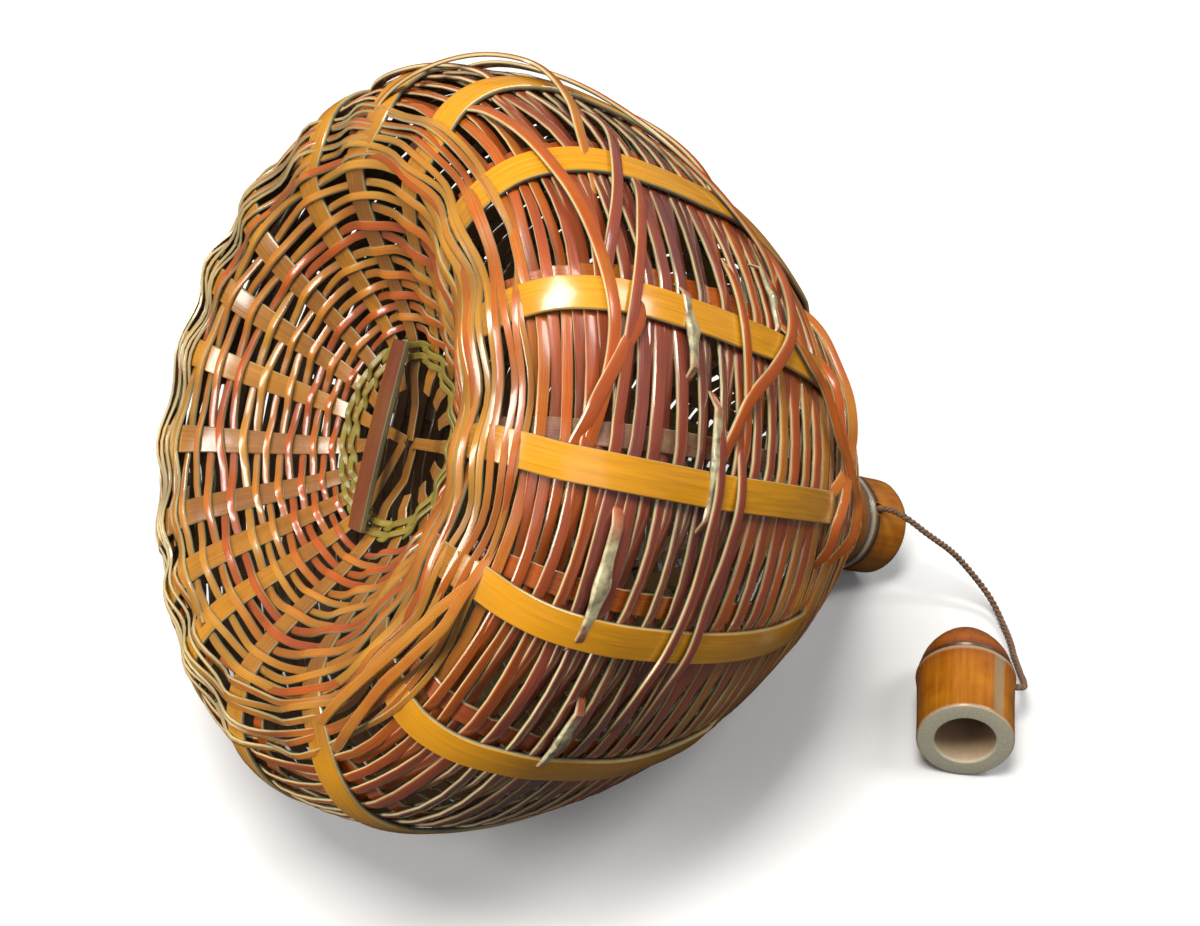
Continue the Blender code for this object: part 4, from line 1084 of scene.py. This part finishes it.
# Strands that cross over the strips: width in millimetres, tone, and rows of distance and lift in
# millimetres and angle in degrees
CROSSINGS = (
    (4.2, 0.42, ((77, -2.6, 168), (80.4, 0.2, 174), (83.5, 0.9, 182.3), (86.2, 1.6, 192.5),
        (88.2, 1.2, 198), (90.1, 0.9, 205), (91.8, 1.6, 215.6), (91.4, 1, 222), (89.4, 0.4, 229),
        (87.6, -1.5, 234.6), (86.4, -2.6, 238), (84.5, -3.2, 244))),
    (4.0, 0.92, ((109, -2.4, 174), (106.9, 0.4, 183.7), (101.9, 1.5, 192.5), (98.5, 0.9, 199),
        (94.8, 0.2, 205), (92.2, -1.3, 210), (91, -2.4, 213.5), (89.5, -3, 219))),
    (3.8, 0.80, ((108.5, -2.2, 190.5), (106, 0.2, 197), (102.5, 0.5, 204), (97, 1.5, 215.2),
        (94.6, 0.6, 223), (93.2, -1.8, 236))),
    (4.3, 0.55, ((101, -2.3, 210), (98.5, 0.3, 217), (93.8, 1, 222), (88.9, 1.3, 228), (86.6, 0.2, 232),
        (84.6, -1.7, 235.2), (83.4, -2.7, 238), (81, -3.2, 244))),
    (4.4, 0.50, ((158, -1.6, 190), (159, 0.8, 199), (157.5, 1.4, 206), (151.9, 1.8, 213.3),
        (142.2, 1.5, 219.5), (132.5, 0.6, 225), (127, -0.4, 231), (121.5, -2.9, 239))),
    (4.0, 0.45, ((133, -2.2, 203), (131.5, 0.3, 209), (130.5, 1.5, 215.6), (131.5, 0.6, 222),
        (133, -0.6, 228), (136, -2.9, 236))),
    (4.0, 0.92, ((125, -2.3, 226), (122.5, 0.6, 233), (122.8, 1.5, 238.6), (123.4, 0.8, 245),
        (124, 0.6, 252), (122.2, 1.6, 260.5), (121.6, 0.7, 267.4), (124, -2.2, 279))),
    (4.0, 0.88, ((132, -2.3, 229), (130.9, 1.5, 238.6), (131.3, 0.7, 246), (130.1, 0.7, 253),
        (130.1, 1.6, 260.7), (129.5, 0.6, 269), (134, -2.2, 282))),
    (3.6, 0.20, ((66, -1.5, 148), (74, 1.4, 152), (84, 3.8, 158), (93, 5.2, 164), (99.5, 4.6, 170),
        (99.6, 2.6, 179), (96.9, 0.9, 187), (95, -2.2, 197))),
    (3.6, 0.30, ((96, -2.3, 150), (99, 1, 158), (103, 2.6, 168), (112, 3, 176), (126, 2.4, 184),
        (142, 1.6, 192), (154, 0.6, 199), (162, -3, 206))),
    (3.8, 0.34, ((150, -3, 209), (154.7, 1.5, 212.5), (162.2, 2, 215.5), (171.6, 2, 218.5),
        (181.1, 2.5, 225), (187, 3, 228), (192, 3.5, 231.5), (198.5, 4, 235), (200.5, 4, 239),
        (201, 3, 243.5), (199, -3.2, 252))),
    (3.8, 0.28, ((182, -3.2, 196), (184.5, 0.8, 203), (187, 2.4, 210), (189.5, 3.6, 216),
        (191, 3.6, 221.5), (192, 2.6, 226), (189, 1.4, 231.5), (185, -3.2, 238))),
    (3.6, 0.40, ((177, -3.2, 208), (178.6, 1, 213), (180, 2.6, 217), (182, 2.4, 222), (186, 2.5, 227),
        (190, 2.5, 231), (189.5, 2.5, 235.5), (187, 2, 240.5), (188.5, 1, 245), (190, -3.2, 251))),
    (3.2, 0.24, ((72, -1.8, 252), (70.4, 1.8, 260.6), (69.8, 2.6, 267.5), (67.4, 2.8, 275.6),
        (66.2, 2.6, 286), (68.7, 1.6, 298), (73, -2, 309))),
    (3.2, 0.16, ((72, -1.8, 256), (68.1, 2.2, 263.4), (65.9, 2.9, 268.7), (63.4, 3, 277.6),
        (61.6, 2.4, 288.8), (62.4, 1.4, 300), (66, -1.8, 312))),
)

# Pale knots left on a weaver: distance and length in millimetres, angle in degrees
KNOTS = (
    (121.5, 34, 235), (97.7, 36, 253), (112.6, 24, 217.8), (148.2, 22, 207.3), (108.2, 24, 277.1),
    (132.0, 22, 61), (104.0, 26, 98), (151.0, 22, 327),
)

# Loose strands at random places: how each rises from the weave and goes back, lifts in millimetres
LOOSE_COUNT = 15
LOOSE_SHARES = (0, 0.12, 0.35, 0.6, 0.88, 1)
LOOSE_LIFTS = (-2.4, 0.5, 1.4, 1.3, 0.5, -2.4)

# Ranges that they are drawn from, in degrees and millimetres
LOOSE_ANGLES, LOOSE_SPANS = (-58, 150), (22, 52)
LOOSE_DISTANCES, LOOSE_SLOPES = (82, 195), (-14, 14)
LOOSE_WIDTHS, LOOSE_TONES = (3.5, 4.2), (0.3, 0.95)

# Widths and tones of all crossing strands are these shares of the ones in the tables
CROSSING_WIDTH_SHARE, CROSSING_TONE_SHARE = 0.78, 0.8


class BASKET_OT_crossings(PieceOperator, bpy.types.Operator):
    """Tuck the loose and crossing strands over the weave, with the pale knots"""

    bl_idname = "basket.crossings"
    bl_label = "Crossing strands"

    def execute(self, context):
        random = np.random.default_rng(23)
        rows = list(CROSSINGS)
        for _ in range(LOOSE_COUNT):
            angle = random.uniform(*LOOSE_ANGLES)
            distance = random.uniform(*LOOSE_DISTANCES)
            slope = random.uniform(*LOOSE_SLOPES)
            span = random.uniform(*LOOSE_SPANS)
            points = [
                (distance + slope * share, lift, angle + span * share)
                for share, lift in zip(LOOSE_SHARES, LOOSE_LIFTS)]
            rows.append((random.uniform(*LOOSE_WIDTHS), random.uniform(*LOOSE_TONES), points))
        paths = []
        for width, tone, points in rows:
            line = through(points, 9)
            distance, lift, angle = line.T
            places, outward, onward = on_skin(distance * MM, np.radians(angle), lift * MM)
            outward = lean(outward, onward, np.interp(distance, (100, 150, 180), (20, 0, -40)))
            taper = np.interp(np.linspace(0, 1, len(line)), (0, 0.08, 0.92, 1), (0.4, 1, 1, 0.4))
            width = width * CROSSING_WIDTH_SHARE * MM * taper
            paths.append(finish_path(places, outward, width, tone * CROSSING_TONE_SHARE, worn=-0.2))
        for distance, length, angle in KNOTS:
            share = np.linspace(-1, 1, 25)
            radius = np.interp(distance * MM, SKIN, SKIN_RADIUS)
            angles = math.radians(angle) + share * length * MM / 2 / radius
            bulge = np.exp(-((share / 0.20) ** 2))
            tuck = np.clip(np.abs(share) - 0.75, 0, 1) / 0.25
            lift = (0.2 + 0.5 * bulge - 2.6 * tuck) * MM
            width = (3.0 + 1.5 * bulge) * MM
            places, outward, onward = on_skin(distance * MM + 0.4 * MM * np.sin(share * 3), angles, lift)
            outward = lean(outward, onward, 14 + 4 * share)
            pale = np.clip(1.15 * np.exp(-((share / 0.7) ** 4)), 0, 1)
            paths.append(finish_path(places, outward, width, 0.55, pale))
        mesh = sweep("crossing_strands", paths, {
            "Thickness share": 0.34, "Corner share": 0.08, "Crown share": 0.42, "Face cuts": 1,
            "Material": finish("smoked split bamboo")})
        add_piece("crossing_strands", mesh, "basket", "strand", "waist_strand_1", "waist_strand_2")
        return {"FINISHED"}


# Twining: distances of its rounds, and in millimetres its lifts over, under and between strips, and how far a
# strand shifts to pass the other
TWINING_ROUNDS = (0.0023, 0.0054)
TWINING_OVER, TWINING_UNDER, TWINING_BETWEEN = 0.75, -1.9, -0.6
TWINING_SHIFT = 0.6
STEPS_PER_LOOP = 5

# Bar: its direction as a share of a turn, half its length, how far it arches, and how deep it lies
BAR_TURN_SHARE = 0.431
BAR_REACH = 0.0255
BAR_ARCH = 0.0005
BAR_SINK = 0.0001


class BASKET_OT_hub(PieceOperator, bpy.types.Operator):
    """Twine the two rounds at the hub and lay the bar across it"""

    bl_idname = "basket.hub"
    bl_label = "Hub"

    def execute(self, context):
        paths = []
        for row, distance in enumerate(TWINING_ROUNDS):
            for side in (0, 1):
                angles, lifts, shifts = [], [], []
                for i in range(len(STRIPS)):
                    over = (i + side + row) % 2 == 0
                    angles += [STRIPS[i], MIDDLES[i]]
                    lifts += [TWINING_OVER if over else TWINING_UNDER, TWINING_BETWEEN]
                    shifts += [0.0, TWINING_SHIFT if over else -TWINING_SHIFT]
                angles.append(STRIPS[0] + TURN)
                lifts.append(lifts[0])
                shifts.append(0.0)
                loops = len(angles) - 1
                share = np.linspace(0, loops, loops * STEPS_PER_LOOP + 1)
                base = np.arange(len(angles))
                ease = base[share.astype(int)] + (1 - np.cos(np.pi * (share % 1))) / 2
                angle = np.interp(share, base, angles)
                lift = np.interp(ease, base, lifts) * MM
                shift = np.interp(ease, base, shifts) * MM
                points, outward, onward = on_skin(distance + shift, angle, lift)
                paths.append(finish_path(points, outward, self.sizes.twining_width, 0.3 + 0.3 * side))
        mesh = sweep("hub_twining", paths, {
            "Thickness share": 0.5, "Corner share": 0.14, "Material": finish("split rattan")})
        add_piece("hub_twining", mesh, "basket", "twining", "hub_twining_1", "hub_twining_2")

        low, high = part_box("base_bar")
        normal = BASKET_TURN @ np.array((0.0, 0.0, -1.0))
        angle = TURN * BAR_TURN_SHARE
        run = BASKET_TURN @ np.array((math.cos(angle), math.sin(angle), 0.0))
        middle = (np.array(low) + np.array(high)) / 2
        share = np.linspace(-1, 1, 19)
        arch = BAR_ARCH * (1 - share**2)
        points = middle + run * (share * BAR_REACH)[:, None] + normal * (arch - BAR_SINK)[:, None]
        width = self.sizes.bar_width * (1 - 0.10 * share**4)
        paths = [finish_path(points, np.tile(normal, (len(share), 1)), width, 0.30, deep=0.88)]
        mesh = sweep("bar", paths, {
            "Thickness share": 0.29, "Corner share": 0.05, "Crown share": 0.10, "Face cuts": 2,
            "Material": finish("smoked split bamboo")})
        add_piece("bar", mesh, "basket", "bar", "base_bar")
        return {"FINISHED"}


def profile_rows(profile, places):
    """A profile's rows of radius, height, cut, darkening and red, in metres, from the heights of its places.
    """
    return [
        (radius * MM, places[start] + past * MM, *shares) for start, radius, past, *shares in profile]


def turned_mesh(name, rows, turn, place, groove, slant=0.0, reach=1.0):
    """A turned mesh from a profile's rows, all the way round and closed at its ends.

    The mouth slants below the height reach.
    """
    rows = np.array(rows, float)
    sides = TURNED_SIDES
    angle = np.linspace(0, TURN, sides, endpoint=False)
    radius, height, cut, darkening, red = (np.repeat(rows[:, i : i + 1], sides, 1) for i in range(5))
    apart = np.abs((angle - groove.angle + math.pi) % TURN - math.pi)
    within = (height >= groove.start) & (height <= groove.stop) & (radius > groove.least)
    scar = np.clip(1 - (apart / groove.half) ** 2, 0, 1) * within
    fade = np.clip((height - groove.start) / (0.25 * (groove.stop - groove.start)), 0, 1)
    radius = radius - groove.depth * scar * (1 - 0.65 * fade)
    local = np.stack([radius * np.cos(angle), radius * np.sin(angle), height], 2).reshape(-1, 3)
    slanted = local.copy()
    slanted[:, 2] += slant * local[:, 0] * np.clip(1 - local[:, 2] / reach, 0, None)
    faces = []
    count = len(rows)
    for i in range(count if rows[0, 0] > 0 else count - 1):
        j = (i + 1) % count
        for k in range(sides):
            m = (k + 1) % sides
            faces.append((i * sides + k, i * sides + m, j * sides + m, j * sides + k))
    mesh = bpy.data.meshes.new(name)
    mesh.from_pydata((slanted @ turn.T + place).tolist(), [], faces)
    scar = np.clip(2.5 * scar, 0, groove.bare)
    for key, values in (("cut", cut), ("darkening", darkening), ("red", red), ("scar", scar)):
        put_attribute(mesh, key, values)
    put_attribute(mesh, "grain", local * (1, 1, 0.06), "FLOAT_VECTOR")
    work = bmesh.new()
    work.from_mesh(mesh)
    bmesh.ops.remove_doubles(work, verts=work.verts, dist=MM / 1000)
    bmesh.ops.recalc_face_normals(work, faces=work.faces)
    work.to_mesh(mesh)
    work.free()
    return mesh


def drilled(mesh, place, direction):
    """The mesh with the cord's hole drilled into it."""
    body = bpy.data.objects.new("drilled", mesh)
    bpy.context.scene.collection.objects.link(body)
    cutter_mesh = bpy.data.meshes.new("drill")
    work = bmesh.new()
    bmesh.ops.create_cone(
        work, cap_ends=True, segments=DRILL_SIDES, radius1=DRILL_RADIUS, radius2=DRILL_RADIUS,
        depth=DRILL_DEPTH)
    work.to_mesh(cutter_mesh)
    work.free()
    cutter = bpy.data.objects.new("drill", cutter_mesh)
    middle = Vector(place) + Vector(direction) * (DRILL_PROUD - DRILL_DEPTH / 2)
    turn = Vector(direction).to_track_quat("Z", "Y").to_matrix().to_4x4()
    cutter.matrix_world = Matrix.Translation(middle) @ turn
    bpy.context.scene.collection.objects.link(cutter)
    hole = body.modifiers.new("hole", "BOOLEAN")
    hole.operation = "DIFFERENCE"
    hole.solver = "EXACT"
    hole.object = cutter
    graph = bpy.context.evaluated_depsgraph_get()
    made = bpy.data.meshes.new_from_object(
        body.evaluated_get(graph), preserve_all_data_layers=True, depsgraph=graph)
    bpy.data.objects.remove(body)
    bpy.data.objects.remove(cutter)
    return made


def add_cane(name, mesh, hole, direction, body, node):
    """Drills and polishes a turned mesh, and puts it in place of a node."""
    mesh = drilled(mesh, hole, direction)
    mesh.materials.clear()
    mesh.materials.append(finish("polished cane"))
    shade(mesh, 32)
    mesh.name = name
    add_piece(name, mesh, body, "bamboo", node)


class BASKET_OT_neck(PieceOperator, bpy.types.Operator):
    """Turn the cane neck"""

    bl_idname = "basket.neck"
    bl_label = "Neck"

    def execute(self, context):
        node, end = COLLAR_HEIGHT + NECK_NODE, COLLAR_HEIGHT + NECK_END
        places = {"foot": COLLAR_HEIGHT + NECK_FOOT, "collar": COLLAR_HEIGHT, "node": node, "end": end}
        groove = Groove(angle=TURN * 0.530, start=node, stop=end, depth=0.6 * MM, half=0.33, least=13.5 * MM,
                        bare=0.0)
        rows = profile_rows(NECK_PROFILE, places)
        mesh = turned_mesh("cane_neck", rows, BASKET_TURN, BASKET_ORIGIN, groove)
        add_cane("cane_neck", mesh, NECK_HOLE, NECK_HOLE_OUT, "basket", "neck")
        return {"FINISHED"}


class BASKET_OT_stopper(PieceOperator, bpy.types.Operator):
    """Turn the hollow cane stopper"""

    bl_idname = "basket.stopper"
    bl_label = "Stopper"

    def execute(self, context):
        rows = profile_rows(STOPPER_PROFILE, {"mouth": 0.0, "node": STOPPER_NODE})
        foot = STOPPER_NODE + DOME_START
        for share in DOME_SHARES:
            radius = DOME_RADIUS * (1 - share**1.6) ** 0.72
            rows.append((radius, foot + DOME_HEIGHT * share, 0, 0.15 * share, 0.6))
        rows.append((0.0, foot + DOME_HEIGHT, 0, 0.2, 0.6))
        groove = Groove(angle=TURN * 0.100, start=1.0 * MM, stop=STOPPER_NODE - 1.2 * MM, depth=0.6 * MM,
                        half=0.15, least=12.5 * MM, bare=0.8)
        slant = math.tan(math.radians(MOUTH_SLANT_DEGREES))
        place = np.array(STOPPER_PLACE)
        mesh = turned_mesh("cane_stopper", rows, STOPPER_TURN, place, groove, slant, STOPPER_NODE / 2)
        add_cane("cane_stopper", mesh, STOPPER_HOLE, STOPPER_RIGHT, "stopper", "stopper")
        return {"FINISHED"}


class BASKET_OT_stage(PieceOperator, bpy.types.Operator):
    """Set out the pale floor and the soft lights"""

    bl_idname = "basket.stage"
    bl_label = "Stage"

    def execute(self, context):
        mesh = bpy.data.meshes.new("floor")
        corners = [(x * FLOOR_REACH, y * FLOOR_REACH, 0) for x, y in ((-1, -1), (1, -1), (1, 1), (-1, 1))]
        mesh.from_pydata(corners, [], [(0, 1, 2, 3)])
        floor = bpy.data.objects.new("floor", mesh)
        floor.location.z = -FLOOR_SINK
        context.scene.collection.objects.link(floor)
        material, tree, shader = new_material("matt floor")
        seen = add_node(tree, "ShaderNodeLightPath").outputs["Is Camera Ray"]
        # Dark to the other surfaces, so that it throws little light back under the basket
        dark, pale = rgba(linear("#404040")), rgba(linear("#F2F2F2"))
        colour = add_node(tree, "ShaderNodeMix", {0: seen, 6: dark, 7: pale}, data_type="RGBA")
        tree.links.new(colour.outputs[2], shader.inputs["Base Color"])
        shader.inputs["Roughness"].default_value = 0.9
        shader.inputs["Specular IOR Level"].default_value = 0.1
        mesh.materials.append(material)

        world = bpy.data.worlds.new("studio")
        world.use_nodes = True
        tree = world.node_tree
        background = tree.nodes["Background"]
        seen = add_node(tree, "ShaderNodeLightPath").outputs["Is Camera Ray"]
        colour = add_node(tree, "ShaderNodeMix", {0: seen, 6: SKY_LIGHT, 7: SKY_SEEN}, data_type="RGBA")
        tree.links.new(colour.outputs[2], background.inputs["Color"])
        background.inputs["Strength"].default_value = 1.0
        context.scene.world = world

        for name, place, width, height, power, tint in LAMPS:
            data = bpy.data.lights.new(name, "AREA")
            data.shape = "RECTANGLE"
            data.size = width
            data.size_y = height
            data.energy = power
            data.color = tint
            light = bpy.data.objects.new(name, data)
            light.location = place
            light.rotation_euler = (-Vector(place)).to_track_quat("-Z", "Y").to_euler()
            context.scene.collection.objects.link(light)
        context.scene.view_settings.view_transform = "Standard"
        return {"FINISHED"}


class BASKET_PT_panel(bpy.types.Panel):
    """Sizes, colours and pieces of the basket"""

    bl_idname = "BASKET_PT_panel"
    bl_label = "Ikebana basket"
    bl_space_type = "VIEW_3D"
    bl_region_type = "UI"
    bl_category = "Basket"

    def draw(self, context):
        layout = self.layout
        for group in (context.scene.basket_sizes, context.scene.basket_colours):
            for name in group.__annotations__:
                layout.prop(group, name)
        for operator in OPERATORS:
            layout.operator(operator.bl_idname)


OPERATORS = (
    BASKET_OT_camera, BASKET_OT_cord, BASKET_OT_weave, BASKET_OT_ribs, BASKET_OT_strips,
    BASKET_OT_crossings, BASKET_OT_hub, BASKET_OT_neck, BASKET_OT_stopper, BASKET_OT_stage,
)
CLASSES = (BasketSizes, BasketColours, *OPERATORS, BASKET_PT_panel)


def register():
    """Adds the sizes, the colours, the operators and the panel."""
    for item in CLASSES:
        bpy.utils.register_class(item)
    bpy.types.Scene.basket_sizes = bpy.props.PointerProperty(type=BasketSizes)
    bpy.types.Scene.basket_colours = bpy.props.PointerProperty(type=BasketColours)


def unregister():
    """Takes them out again."""
    del bpy.types.Scene.basket_colours
    del bpy.types.Scene.basket_sizes
    for item in reversed(CLASSES):
        bpy.utils.unregister_class(item)


def main():
    """Makes all pieces in order."""
    register()
    for operator in OPERATORS:
        getattr(bpy.ops.basket, operator.bl_idname.split(".")[1])()


if __name__ == "__main__":
    main()
